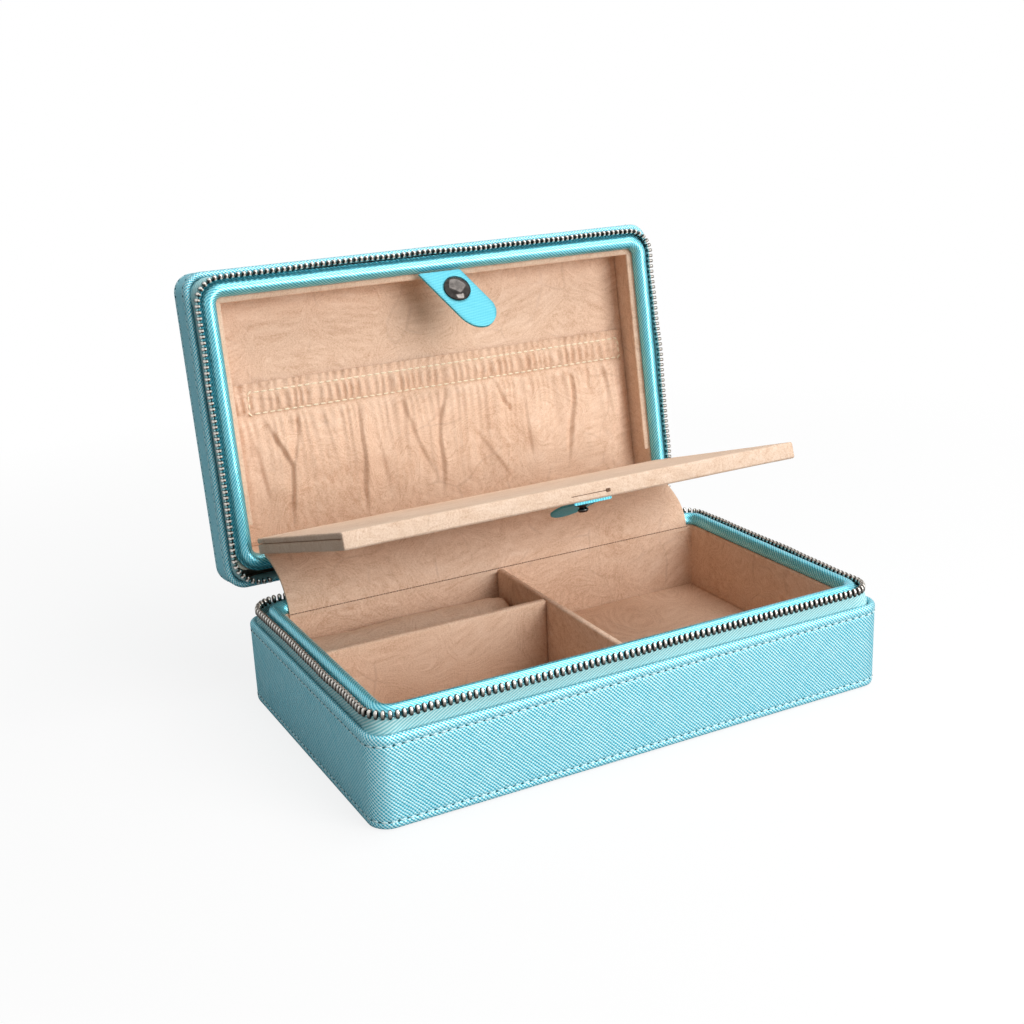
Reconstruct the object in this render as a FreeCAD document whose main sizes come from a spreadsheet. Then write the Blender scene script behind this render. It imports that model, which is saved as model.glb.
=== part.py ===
import FreeCAD, Part
import math
import os
import Sketcher
from FreeCAD import Placement, Rotation, Vector

# Zip-round jewelry case with a padded lid and a hinged cover flap.
# Origin at the middle of the underside, +X to the right, -Y to the front, +Z up, millimetres.

doc = FreeCAD.newDocument("jewelry_case")
sheet = doc.addObject("Spreadsheet::Sheet", "sizes")

driving_sizes = {
    # outer form
    "box_length": 195.0,
    "box_depth": 116.0,
    "corner_radius": 7.0,
    "base_rise": 37.8,
    "lid_rise": 23.0,
    "lid_angle": 98.6,
    "axis_behind": 4.0,
    "axis_below": 4.5,
    # wall make-up, from the outside in
    "cover_skin": 1.0,
    "shell_board": 1.4,
    "tape_thickness": 0.7,
    "tape_gap": 0.9,
    "rim_width": 4.9,
    "lining_wall": 0.9,
    "lining_radius": 1.5,
    "back_step": 2.9,
    # heights below the parting plane
    "cover_drop": 6.8,
    "hem_height": 1.5,
    "edge_round": 0.8,
    "lining_drop": 1.35,
    "rim_clearance": 0.2,
    "rim_height": 5.6,
    "rim_corner": 2.6,
    # flat boards and pads
    "plate_board": 2.0,
    "base_pad": 4.9,
    "lid_pad": 2.6,
    "seat_gap": 0.1,
    # zip
    "tape_drop": 3.5,
    "tape_height": 10.0,
    "tape_return": 18.0,
    "tooth_pitch": 2.4,
    "tooth_thickness": 1.05,
    "tooth_width": 2.2,
    "tooth_tip": 1.1,
    "tooth_shoulder": 2.3,
    "tooth_mesh": 0.6,
    "tooth_grip": 1.4,
    "tooth_play": 0.05,
    "slider_length": 9.0,
    "slider_height": 8.0,
    "slider_inner": 6.4,
    "slider_plate": 1.0,
    "slider_gap": 2.5,
    "slider_corner": 2.7,
    "slider_post": 2.4,
    "post_round": 0.6,
    "bail_length": 6.4,
    "bail_bar": 1.0,
    "bail_opening": 1.8,
    "bail_round": 0.2,
    "pull_wire": 1.0,
    "pull_ring": 6.0,
    "pull_tab_width": 6.0,
    "pull_tab_length": 20.0,
    "pull_tab_thickness": 1.8,
    "pull_tab_corner": 1.8,
    "pull_eye": 1.7,
    "stop_length": 3.0,
    # compartments
    "divider_thickness": 2.5,
    "divider_top": 32.8,
    "divider_round": 0.9,
    "cross_divider_x": -0.5,
    "long_divider_y": 7.7,
    "roll_diameter": 18.0,
    "roll_round": 4.0,
    "roll_gap": 0.6,
    # cover flap
    "flap_gap": 0.7,
    "flap_end_gap": 0.35,
    "flap_drop": 3.0,
    "flap_elevation": 17.1,
    "flap_upper": 2.2,
    "flap_lower": 3.7,
    "flap_corner": 2.0,
    "flap_round": 0.8,
    "tab_width": 14.5,
    "tab_length": 24.0,
    "tab_thickness": 1.0,
    "tab_droop": 1.6,
    "tab_middle": 3.2,
    "stud_ball": 3.8,
    "stud_waist": 2.4,
    "stud_crown": 2.3,
    "stud_waist_height": 0.8,
    "stud_shoulder_height": 1.4,
    "stud_crown_height": 2.1,
    "stud_height": 2.6,
    "stud_back": 8.0,
    # elastic pocket
    "pocket_margin": 1.6,
    "pocket_height": 57.5,
    "pocket_thickness": 1.2,
    "band_height": 8.0,
    "band_thickness": 2.4,
    "ruffle_height": 3.5,
    # lid strap and snap
    "strap_width": 15.5,
    "strap_length": 27.0,
    "strap_thickness": 1.2,
    "strap_lean": 27.4,
    "strap_droop": 50.0,
    "strap_clear": 1.4,
    "strap_tuck": 1.25,
    "cap_diameter": 10.8,
    "cap_height": 2.2,
    "cap_rim": 0.7,
    "cap_back": 10.0,
    "socket_diameter": 9.0,
    "socket_height": 2.0,
    "socket_crown": 7.2,
    "socket_shoulder": 1.2,
    "socket_depth": 1.2,
    # back hinge strips
    "spine_width": 120.0,
    "spine_thickness": 0.9,
    "spine_overlap": 9.0,
    "spine_bend": 6.0,
    "hinge_lining_width": 170.0,
    "hinge_lining_thickness": 1.0,
    "hinge_lining_arch": 1.6,
    "strip_gap": 0.3,
    "spine_gap": 0.1,
}

for row, (alias, number) in enumerate(driving_sizes.items(), start=1):
    sheet.set("A%d" % row, alias)
    sheet.set("B%d" % row, str(number))
    sheet.setAlias("B%d" % row, alias)
doc.recompute()


class Size:
    # A length that carries both its number and the expression that gives it.
    def __init__(self, text, value):
        self.text = text
        self.value = value

    def joined(self, sign, other, value):
        return Size("(%s %s %s)" % (self.text, sign, other.text), value)

    def __add__(self, other):
        other = as_size(other)
        return self.joined("+", other, self.value + other.value)

    def __sub__(self, other):
        other = as_size(other)
        return self.joined("-", other, self.value - other.value)

    def __mul__(self, other):
        other = as_size(other)
        return self.joined("*", other, self.value * other.value)

    def __truediv__(self, other):
        other = as_size(other)
        return self.joined("/", other, self.value / other.value)


def as_size(number):
    if isinstance(number, Size):
        return number
    return Size(repr(float(number)), float(number))


def size(alias):
    return Size("sizes." + alias, float(sheet.get(alias)))


zero = as_size(0)
tiny = 1e-4


box_length = size("box_length")
box_depth = size("box_depth")
corner_radius = size("corner_radius")
cover_skin = size("cover_skin")
plate_board = size("plate_board")
lining_drop = size("lining_drop")
cover_drop = size("cover_drop")
strip_gap = size("strip_gap")
back_step = size("back_step")

# How far each layer's faces lie inside the cover's outer face.
board_inset = cover_skin + size("shell_board")
tape_inset = board_inset + size("tape_thickness")
rim_inset = tape_inset + size("tape_gap")
rim_inner_inset = rim_inset + size("rim_width")
lining_inset = rim_inner_inset + size("lining_wall")
zip_inset = board_inset + size("tape_thickness") / 2

half_length = box_length / 2
half_depth = box_depth / 2
inner_right = half_length - lining_inset
inner_front = half_depth - lining_inset
inner_back = half_depth - lining_inset - back_step
base_rise = size("base_rise")
case_height = base_rise + size("lid_rise")
plate_top = cover_skin + plate_board
base_floor = plate_top + size("base_pad")

# The lid turns about an axis behind and below the back edge of the parting plane.
axis_y = half_depth + size("axis_behind")
axis_z = base_rise - size("axis_below")
lid_turn = Rotation(Vector(1, 0, 0), -size("lid_angle").value)
lid_opened = Placement(Vector(0, 0, 0), lid_turn, Vector(0, axis_y.value, axis_z.value))
lid_upside_down = Placement(Vector(0, 0, case_height.value), Rotation(Vector(0, 1, 0), 180))
base_frame = Placement()
lid_frame = lid_opened.multiply(lid_upside_down)

sub_parts = []


def finished(item, label, placement):
    item.Label = label
    item.Placement = placement
    sub_parts.append(item)
    return item


def new_body(name):
    return doc.addObject("PartDesign::Body", "body_" + name)


def new_sketch(body, name, plane="XY_Plane", height=None):
    sketch = body.newObject("Sketcher::SketchObject", name)
    origin_plane = [item for item in body.Origin.OriginFeatures if item.Role == plane][0]
    sketch.AttachmentSupport = [(origin_plane, "")]
    sketch.MapMode = "FlatFace"
    if height is not None:
        sketch.setExpression("AttachmentOffset.Base.z", height.text)
    return sketch


def pad(body, sketch, name, length, midplane=False):
    feature = body.newObject("PartDesign::Pad", name)
    feature.Profile = sketch
    feature.Length = length.value
    feature.setExpression("Length", length.text)
    if midplane:
        feature.SideType = "Symmetric"
    sketch.Visibility = False
    return feature


def bound(sketch, kind, args, length):
    number = sketch.addConstraint(Sketcher.Constraint(kind, *args, length.value))
    sketch.setExpression("Constraints[%d]" % number, length.text)


def rounded_rectangle(sketch, length, front, back, radius):
    # Centred on x, from y = -front to y = +back, with four equal corner arcs.
    half = length.value / 2
    low, high, bend = -front.value, back.value, radius.value
    corners = [
        (half - bend, low + bend, -90),
        (half - bend, high - bend, 0),
        (-half + bend, high - bend, 90),
        (-half + bend, low + bend, 180),
    ]
    ends = [
        (Vector(-half + bend, low, 0), Vector(half - bend, low, 0)),
        (Vector(half, low + bend, 0), Vector(half, high - bend, 0)),
        (Vector(half - bend, high, 0), Vector(-half + bend, high, 0)),
        (Vector(-half, high - bend, 0), Vector(-half, low + bend, 0)),
    ]
    sides = [sketch.addGeometry(Part.LineSegment(*pair)) for pair in ends]
    arcs = []
    for x, y, start in corners:
        circle = Part.Circle(Vector(x, y, 0), Vector(0, 0, 1), bend)
        first = math.radians(start)
        arcs.append(sketch.addGeometry(Part.ArcOfCircle(circle, first, first + math.pi / 2)))
    for number in range(4):
        following = sides[(number + 1) % 4]
        sketch.addConstraint(Sketcher.Constraint("Tangent", sides[number], 2, arcs[number], 1))
        sketch.addConstraint(Sketcher.Constraint("Tangent", arcs[number], 2, following, 1))
    sketch.addConstraint(Sketcher.Constraint("Vertical", sides[1]))
    sketch.addConstraint(Sketcher.Constraint("Horizontal", sides[2]))
    sketch.addConstraint(Sketcher.Constraint("Vertical", sides[3]))
    for number in range(1, 4):
        sketch.addConstraint(Sketcher.Constraint("Equal", arcs[0], arcs[number]))
    sketch.addConstraint(Sketcher.Constraint("Symmetric", sides[0], 1, sides[0], 2, -2))
    bound(sketch, "DistanceX", (sides[3], 1, sides[1], 1), length)
    bound(sketch, "DistanceY", (sides[0], 1, -1, 1), front)
    bound(sketch, "DistanceY", (-1, 1, sides[2], 1), back)
    bound(sketch, "Radius", (arcs[0],), radius)


def outline(sketch, inset, radius, set_back=zero):
    back = half_depth - inset - set_back
    rounded_rectangle(sketch, box_length - inset * 2, half_depth - inset, back, radius)


def edges_at_height(feature, height):
    # Names of a feature's edges that lie flat at one height.
    names = []
    for number, edge in enumerate(feature.Shape.Edges, start=1):
        box = edge.BoundBox
        if abs(box.ZMin - height.value) < tiny and abs(box.ZMax - height.value) < tiny:
            names.append("Edge%d" % number)
    return names


def rounded_edges(body, base, name, edge_names, radius):
    fillet = body.newObject("PartDesign::Fillet", name)
    fillet.Base = (base, edge_names)
    fillet.setExpression("Radius", radius.text)
    return fillet


lining_radius = size("lining_radius")
rim_corner = size("rim_corner")
zip_radius = corner_radius - zip_inset


def layer_ring(label, placement, outer, inner, bottom, height):
    # A wall layer between two outlines, each given as (inset, corner radius, step at the back).
    body = new_body(label)
    sketch = new_sketch(body, "outline_" + label, height=bottom)
    outline(sketch, *outer)
    outline(sketch, *inner)
    pad(body, sketch, "wall_" + label, height)
    return finished(body, label, placement)


def cover_side(label, placement, crest):
    # Leatherette band with its top edge turned over the shell board.
    body = new_body(label)
    skin = new_sketch(body, "skin_" + label, height=cover_skin)
    outline(skin, zero, corner_radius)
    outline(skin, cover_skin, corner_radius - cover_skin)
    pad(body, skin, "band_" + label, crest - cover_skin)
    hem = new_sketch(body, "hem_" + label, height=crest - size("hem_height"))
    outline(hem, zero, corner_radius)
    outline(hem, board_inset, corner_radius - board_inset)
    turned = pad(body, hem, "turned_edge_" + label, size("hem_height"))
    doc.recompute()
    rounded_edges(body, turned, "crest_" + label, edges_at_height(turned, crest), size("edge_round"))
    return finished(body, label, placement)


def cover_plate(label, placement):
    body = new_body(label)
    sketch = new_sketch(body, "outline_" + label)
    outline(sketch, zero, corner_radius)
    plate = pad(body, sketch, "plate_" + label, cover_skin)
    doc.recompute()
    radius = size("edge_round")
    rounded_edges(body, plate, "lower_edge_" + label, edges_at_height(plate, zero), radius)
    return finished(body, label, placement)


def plate(label, placement, inset, radius, bottom, thickness, set_back=zero):
    body = new_body(label)
    sketch = new_sketch(body, "outline_" + label, height=bottom)
    outline(sketch, inset, radius, set_back)
    pad(body, sketch, "plate_" + label, thickness)
    return finished(body, label, placement)


def rim_roll(label, placement, rise):
    # Padded leatherette roll swept round the tray's edge.
    body = new_body(label)
    middle = rim_inset + size("rim_width") / 2
    spine = new_sketch(body, "path_" + label, height=rise - size("rim_clearance") - size("rim_height"))
    outline(spine, middle, rim_corner, back_step)
    profile = new_sketch(body, "profile_" + label, "YZ_Plane")
    half = size("rim_width") / 2
    centre = half_depth - middle
    top = rise - size("rim_clearance")
    shoulder = top - half
    foot = top - size("rim_height")
    left, right = -(centre.value + half.value), -(centre.value - half.value)
    corners = [
        Vector(left, shoulder.value, 0),
        Vector(left, foot.value, 0),
        Vector(right, foot.value, 0),
        Vector(right, shoulder.value, 0),
    ]
    sides = [profile.addGeometry(Part.LineSegment(corners[n], corners[n + 1])) for n in range(3)]
    circle = Part.Circle(Vector(-centre.value, shoulder.value, 0), Vector(0, 0, 1), half.value)
    crown = profile.addGeometry(Part.ArcOfCircle(circle, 0, math.pi))
    profile.addConstraint(Sketcher.Constraint("Coincident", sides[0], 2, sides[1], 1))
    profile.addConstraint(Sketcher.Constraint("Coincident", sides[1], 2, sides[2], 1))
    profile.addConstraint(Sketcher.Constraint("Tangent", sides[2], 2, crown, 1))
    profile.addConstraint(Sketcher.Constraint("Tangent", crown, 2, sides[0], 1))
    profile.addConstraint(Sketcher.Constraint("Vertical", sides[0]))
    profile.addConstraint(Sketcher.Constraint("Horizontal", sides[1]))
    bound(profile, "Radius", (crown,), half)
    bound(profile, "DistanceX", (crown, 3, -1, 1), centre)
    bound(profile, "DistanceY", (-1, 1, crown, 3), shoulder)
    bound(profile, "DistanceY", (-1, 1, sides[1], 1), foot)
    roll = body.newObject("PartDesign::AdditivePipe", "roll_" + label)
    roll.Profile = profile
    roll.Spine = spine
    roll.Transition = "Transformed"
    return finished(body, label, placement)


def zip_tape(label, placement, top):
    # Woven tape standing up inside the wall, open along most of the back.
    body = new_body(label)
    height = size("tape_height")
    sketch = new_sketch(body, "outline_" + label, height=top - height)
    outline(sketch, board_inset, corner_radius - board_inset)
    outline(sketch, tape_inset, corner_radius - tape_inset)
    strip = pad(body, sketch, "strip_" + label, height)
    gap = new_sketch(body, "gap_" + label, height=top)
    reach = half_length - corner_radius - size("tape_return")
    rounded_rectangle(gap, reach * 2, zero - half_depth / 2, half_depth, cover_skin)
    doc.recompute()
    cut = body.newObject("PartDesign::Pocket", "back_gap_" + label)
    cut.Profile = gap
    cut.setExpression("Length", height.text)
    doc.recompute()
    if cut.Shape.Volume >= strip.Shape.Volume:
        raise RuntimeError("the zip tape of %s is not open at the back" % label)
    return finished(body, label, placement)


def chain_point(distance):
    # Place and heading on the zip's path, measured from the middle of the front.
    bend = zip_radius.value
    front = half_length.value - corner_radius.value
    quarter = bend * math.pi / 2
    side = box_depth.value - 2 * corner_radius.value
    right = half_length.value - zip_inset.value
    near = half_depth.value - zip_inset.value
    run = abs(distance)
    if run <= front:
        x, y, heading = run, -near, 0.0
    elif run <= front + quarter:
        heading = (run - front) / bend
        x = right - bend + bend * math.sin(heading)
        y = -near + bend - bend * math.cos(heading)
    elif run <= front + quarter + side:
        x, y, heading = right, -near + bend + run - front - quarter, math.pi / 2
    elif run <= front + 2 * quarter + side:
        heading = math.pi / 2 + (run - front - quarter - side) / bend
        x = right - bend + bend * math.sin(heading)
        y = near - bend - bend * math.cos(heading)
    else:
        x, y, heading = right - bend - (run - front - 2 * quarter - side), near, math.pi
    if distance < 0:
        return Vector(-x, y, 0), -heading
    return Vector(x, y, 0), heading


def chain_half_run(past_slider_end):
    # Toothed length on each side of the middle, measured past the near end of the parked slider.
    straight = half_length.value - corner_radius.value
    side = box_depth.value - 2 * corner_radius.value
    toothed_return = size("tape_return") - size("slider_length") + past_slider_end
    return straight + zip_radius.value * math.pi + side + toothed_return.value


def zip_teeth(label, placement, top, shift, half_run):
    # Metal teeth clamped over the tape's edge: two legs, shoulders and a head that narrows.
    # The two chains are half a pitch apart, so they mesh.
    wide = size("tooth_width").value / 2
    narrow = size("tooth_tip").value / 2
    thick = size("tooth_thickness").value
    reach = size("tape_drop").value + size("tooth_mesh").value
    shoulder = size("tooth_shoulder").value
    grip = size("tooth_grip").value
    slot = size("tape_thickness").value / 2 + size("tooth_play").value
    half_outline = [(slot, 0), (slot, -grip), (wide, -grip), (wide, shoulder), (narrow, reach)]
    right_side = [Vector(-thick / 2, across, height) for across, height in half_outline]
    left_side = [Vector(-thick / 2, -across, height) for across, height in reversed(half_outline)]
    corners = right_side + left_side
    outline_wire = Part.makePolygon(corners + corners[:1])
    tooth = Part.Face(outline_wire).extrude(Vector(thick, 0, 0))
    pitch = size("tooth_pitch").value
    count = int(half_run / pitch)
    teeth = []
    for number in range(-count, count + 1):
        distance = (number + shift) * pitch
        if abs(distance) > half_run:
            continue
        point, heading = chain_point(distance)
        copy = tooth.copy()
        point.z = top.value
        copy.Placement = Placement(point, Rotation(Vector(0, 0, 1), math.degrees(heading)))
        teeth.append(copy)
    chain = doc.addObject("Part::Feature", "chain_" + label)
    chain.Shape = Part.makeCompound(teeth)
    return finished(chain, label, placement)


def tray(prefix, plate_word, placement, rise, padding, pad_label, tooth_shift, half_run):
    # One half of the case, built mouth up from its outer plate.
    crest = rise - cover_drop
    hem = size("hem_height")
    rim_foot = rise - size("rim_clearance") - size("rim_height")
    tape_top = rise - size("tape_drop")
    lining_top = rise - lining_drop
    board_radius = corner_radius - board_inset
    rim_outer = (rim_inset, corner_radius - rim_inset, back_step)
    rim_inner = (rim_inner_inset, lining_radius, back_step)
    mouth = (lining_inset, lining_radius, back_step)
    cover_plate("%s_cover_%s" % (prefix, plate_word), placement)
    cover_side(prefix + "_cover_side", placement, crest)
    outer_board = (cover_skin, corner_radius - cover_skin)
    inner_board = (board_inset, board_radius)
    board_height = crest - hem - cover_skin
    layer_ring(prefix + "_shell_board", placement, outer_board, inner_board, cover_skin, board_height)
    plate(prefix + "_plate_board", placement, board_inset, board_radius, cover_skin, plate_board)
    layer_ring(prefix + "_wall_foam", placement, rim_outer, rim_inner, plate_top, rim_foot - plate_top)
    layer_ring(prefix + "_lining_wall", placement, rim_inner, mouth, plate_top, lining_top - plate_top)
    plate(pad_label, placement, mouth[0], mouth[1], plate_top, padding, mouth[2])
    rim_roll(prefix + "_rim_roll", placement, rise)
    zip_tape(prefix + "_zip_tape", placement, tape_top)
    zip_teeth(prefix + "_zip_teeth", placement, tape_top, tooth_shift, half_run)


# The base chain ends inside the slider. The lid chain stops short of it, so the lid lifts clear.
base_run = chain_half_run((size("slider_length") - size("slider_post") - size("tooth_pitch")) / 2)
lid_run = chain_half_run(zero - size("tooth_pitch") / 2)
tray("base", "bottom", base_frame, base_rise, size("base_pad"), "base_floor_pad", 0.0, base_run)
tray("lid", "top", lid_frame, size("lid_rise"), size("lid_pad"), "lid_lining_panel", 0.5, lid_run)


def upright_board(label, length, front, back, centre):
    # Suede-covered divider standing on the floor pad, with a softened top edge.
    body = new_body(label)
    sketch = new_sketch(body, "plan_" + label, height=base_floor)
    rounded_rectangle(sketch, length, front, back, size("seat_gap"))
    top = size("divider_top")
    board = pad(body, sketch, "board_" + label, top - base_floor)
    doc.recompute()
    rounded_edges(body, board, "soft_top_" + label, edges_at_height(board, top), size("divider_round"))
    return finished(body, label, Placement(centre, Rotation()))


half_divider = size("divider_thickness") / 2
cross_x = size("cross_divider_x")
upright_board(
    "cross_divider",
    size("divider_thickness"),
    inner_front - size("seat_gap"),
    inner_back - size("seat_gap"),
    Vector(cross_x.value, 0, 0),
)
left_span = inner_right + cross_x - half_divider - size("seat_gap") * 2
upright_board(
    "long_divider",
    left_span,
    half_divider - size("long_divider_y"),
    half_divider + size("long_divider_y"),
    Vector((cross_x - half_divider - size("seat_gap") - left_span / 2).value, 0, 0),
)


def ring_roll(label, place):
    # Suede-covered foam roll. Rings stand in the crease between two rolls.
    body = new_body(label)
    sketch = new_sketch(body, "section_" + label, "YZ_Plane")
    radius = size("roll_diameter") / 2
    circle = sketch.addGeometry(Part.Circle(Vector(0, 0, 0), Vector(0, 0, 1), radius.value))
    sketch.addConstraint(Sketcher.Constraint("Coincident", circle, 3, -1, 1))
    bound(sketch, "Radius", (circle,), radius)
    length = left_span - size("roll_gap") * 2
    roll = pad(body, sketch, "roll_" + label, length, midplane=True)
    doc.recompute()
    rounded_edges(body, roll, "round_ends_" + label, end_circles(roll), size("roll_round"))
    return finished(body, label, Placement(place, Rotation()))


def end_circles(feature):
    return [
        "Edge%d" % number
        for number, edge in enumerate(feature.Shape.Edges, start=1)
        if isinstance(edge.Curve, Part.Circle)
    ]


roll_x = (cross_x - half_divider - size("seat_gap") - left_span / 2).value
roll_z = (base_floor + size("roll_diameter") / 2 + size("seat_gap") / 2).value
back_roll_y = inner_back - size("roll_diameter") / 2 - size("seat_gap")
front_roll_y = back_roll_y - size("roll_diameter") - size("seat_gap")
ring_roll("ring_roll_back", Vector(roll_x, back_roll_y.value, roll_z))
ring_roll("ring_roll_front", Vector(roll_x, front_roll_y.value, roll_z))


# The flap lies in the mouth of both halves when closed, and turns on its lower back edge.
flap_axis_y = inner_back - size("flap_end_gap")
flap_axis_z = base_rise + lining_drop - size("flap_drop")
flap_length = flap_axis_y + inner_front - size("flap_end_gap")
flap_width = (inner_right - size("flap_gap")) * 2
flap_thickness = size("flap_lower") + size("flap_upper")
flap_axis_closed = Vector(0, flap_axis_y.value, flap_axis_z.value)
flap_axis = lid_opened.multVec(flap_axis_closed)
flap_turn = Rotation(Vector(1, 0, 0), -size("flap_elevation").value)
flap_frame = Placement(flap_axis, flap_turn)


def flap_ply(label, bottom, thickness, soft_height):
    body = new_body(label)
    sketch = new_sketch(body, "plan_" + label, height=bottom)
    rounded_rectangle(sketch, flap_width, flap_length, zero, size("flap_corner"))
    board = pad(body, sketch, "board_" + label, thickness)
    doc.recompute()
    edge_names = edges_at_height(board, soft_height)
    rounded_edges(body, board, "soft_edge_" + label, edge_names, size("flap_round"))
    return finished(body, label, flap_frame)


flap_ply("flap_lower_board", zero, size("flap_lower"), zero)
flap_ply("flap_upper_board", size("flap_lower"), size("flap_upper"), flap_thickness)


def strip_along(edges, width, thickness):
    # A flat strip of one thickness, swept along edges in the YZ plane.
    path = Part.Wire(edges)
    start = edges[0].valueAt(edges[0].FirstParameter)
    along = edges[0].tangentAt(edges[0].FirstParameter)
    across = Vector(1, 0, 0)
    upward = along.cross(across)
    half = across * (width / 2)
    rise = upward * (thickness / 2)
    corners = [start - half - rise, start + half - rise, start + half + rise, start - half + rise]
    section = Part.makePolygon(corners + corners[:1])
    return path.makePipeShell([section], True, True)


def edge_of(*points):
    if len(points) == 2:
        return Part.LineSegment(*points).toShape()
    return Part.Arc(*points).toShape()


def flap_tab():
    # Leatherette tab under the flap's front edge. It carries the snap's stud and droops at its free end.
    half = size("tab_thickness").value / 2
    front = -flap_length.value + size("flap_corner").value
    length = size("tab_length").value
    droop = size("tab_droop").value
    under = -half
    root = Vector(0, front, under)
    middle = Vector(0, front + length / 2, under - droop / 4)
    tip = Vector(0, front + length, under - droop)
    strip = strip_along([edge_of(root, middle, tip)], size("tab_width").value, 2 * half)
    corners = [
        edge
        for edge in strip.Edges
        if edge.Length < 4 * half and edge.CenterOfMass.y > front + length / 2
    ]
    tab = doc.addObject("Part::Feature", "leather_tab")
    tab.Shape = strip.makeFillet(size("tab_width").value / 2 - half, corners)
    shift = Placement(Vector(size("tab_middle").value, 0, 0), Rotation())
    finished(tab, "flap_tab", flap_frame.multiply(shift))


def turned_part(label, outline_points, placement):
    # A small turned metal piece: its half profile in the XZ plane is spun about Z.
    body = new_body(label)
    sketch = new_sketch(body, "profile_" + label, "XZ_Plane")
    corners = [Vector(radius.value, height.value, 0) for radius, height in outline_points]
    count = len(corners)
    lines = []
    for number in range(count):
        ends = Part.LineSegment(corners[number], corners[(number + 1) % count])
        lines.append(sketch.addGeometry(ends))
    for number in range(count):
        following = lines[(number + 1) % count]
        sketch.addConstraint(Sketcher.Constraint("Coincident", lines[number], 2, following, 1))
    for line, (radius, height) in zip(lines, outline_points):
        if abs(radius.value) < tiny:
            sketch.addConstraint(Sketcher.Constraint("PointOnObject", line, 1, -2))
        else:
            bound(sketch, "DistanceX", (-1, 1, line, 1), radius)
        if abs(height.value) < tiny:
            sketch.addConstraint(Sketcher.Constraint("PointOnObject", line, 1, -1))
        else:
            bound(sketch, "DistanceY", (-1, 1, line, 1), height)
    spin = body.newObject("PartDesign::Revolution", "turned_" + label)
    spin.Profile = sketch
    spin.ReferenceAxis = (sketch, ["V_Axis"])
    spin.Angle = 360
    return finished(body, label, placement)


flap_tab()
ball = size("stud_ball") / 2
stud_height = size("stud_height")
stud_outline = [
    (zero, zero),
    (ball, zero),
    (size("stud_waist") / 2, size("stud_waist_height")),
    (ball, size("stud_shoulder_height")),
    (ball, size("stud_crown_height")),
    (size("stud_crown") / 2, stud_height),
    (zero, stud_height),
]
stud_reach = (size("stud_back") + ball) / size("tab_length")
stud_drop = size("tab_droop") * stud_reach * stud_reach
stud_place = Vector(
    size("tab_middle").value,
    (size("flap_corner") + size("stud_back") - flap_length).value,
    -(size("tab_thickness") + stud_drop).value,
)
stud_frame = flap_frame.multiply(Placement(stud_place, Rotation(Vector(1, 0, 0), 180)))
turned_part("flap_snap_stud", stud_outline, stud_frame)


def pocket_piece(label, bottom, top, thickness, lift, margin):
    # A layer of the pocket, lying on the lid's lining panel. Heights run from the hinge to the free edge.
    body = new_body(label)
    panel = plate_top + size("lid_pad")
    sketch = new_sketch(body, "plan_" + label, height=panel + lift)
    span = (inner_right - margin) * 2
    low = inner_back - top
    high = inner_back - bottom
    rounded_rectangle(sketch, span, zero - low, high, size("seat_gap"))
    pad(body, sketch, "cloth_" + label, thickness)
    return finished(body, label, lid_frame)


pocket_margin = size("pocket_margin")
band_bottom = size("pocket_height") - size("band_height")
band_top = size("pocket_height") + size("ruffle_height")
pocket_piece("pocket_sheet", pocket_margin, band_bottom, size("pocket_thickness"), zero, pocket_margin)
pocket_piece("pocket_band", band_bottom, band_top, size("band_thickness"), zero, pocket_margin)


# The lid strap hangs from the middle of the lid's free edge, leaning to the right.
strap_root_closed = Vector(
    0,
    -(inner_front - size("strap_clear")).value,
    (base_rise + lining_drop).value,
)
strap_root = lid_opened.multVec(strap_root_closed)
strap_lean = math.radians(size("strap_lean").value)
strap_droop = math.radians(size("strap_droop").value)
strap_along = Vector(
    math.sin(strap_lean),
    -math.cos(strap_lean) * math.cos(strap_droop),
    -math.cos(strap_lean) * math.sin(strap_droop),
)
strap_across = (Vector(1, 0, 0) - strap_along * strap_along.x).normalize()
strap_face = strap_across.cross(strap_along)
if strap_face.y > 0:
    strap_face = strap_face * -1
strap_turn = Rotation(strap_along.cross(strap_face) * -1, strap_along * -1, strap_face, "ZXY")
strap_frame = Placement(strap_root, strap_turn)


def lid_strap():
    # Strap with a round tip. Its root edge is cut on the slant, along the lid's lining.
    body = new_body("lid_strap")
    sketch = new_sketch(body, "plan_lid_strap")
    half = size("strap_width") / 2
    slant = half * math.tan(strap_lean)
    high = size("strap_tuck") + slant
    low = size("strap_tuck") - slant
    tip = size("strap_length") - half
    left_side = (Vector(-half.value, high.value, 0), Vector(-half.value, -tip.value, 0))
    right_side = (Vector(half.value, -tip.value, 0), Vector(half.value, low.value, 0))
    circle = Part.Circle(Vector(0, -tip.value, 0), Vector(0, 0, 1), half.value)
    left = sketch.addGeometry(Part.LineSegment(*left_side))
    round_tip = sketch.addGeometry(Part.ArcOfCircle(circle, math.pi, 2 * math.pi))
    right = sketch.addGeometry(Part.LineSegment(*right_side))
    root = sketch.addGeometry(Part.LineSegment(right_side[1], left_side[0]))
    sketch.addConstraint(Sketcher.Constraint("Tangent", left, 2, round_tip, 1))
    sketch.addConstraint(Sketcher.Constraint("Tangent", round_tip, 2, right, 1))
    sketch.addConstraint(Sketcher.Constraint("Coincident", right, 2, root, 1))
    sketch.addConstraint(Sketcher.Constraint("Coincident", root, 2, left, 1))
    sketch.addConstraint(Sketcher.Constraint("Vertical", left))
    sketch.addConstraint(Sketcher.Constraint("Vertical", right))
    sketch.addConstraint(Sketcher.Constraint("PointOnObject", round_tip, 3, -2))
    bound(sketch, "Radius", (round_tip,), half)
    bound(sketch, "DistanceY", (round_tip, 3, -1, 1), tip)
    bound(sketch, "DistanceY", (-1, 1, left, 1), high)
    bound(sketch, "DistanceY", (-1, 1, right, 2), low)
    pad(body, sketch, "leather_lid_strap", size("strap_thickness"))
    finished(body, "lid_strap", strap_frame)


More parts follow.
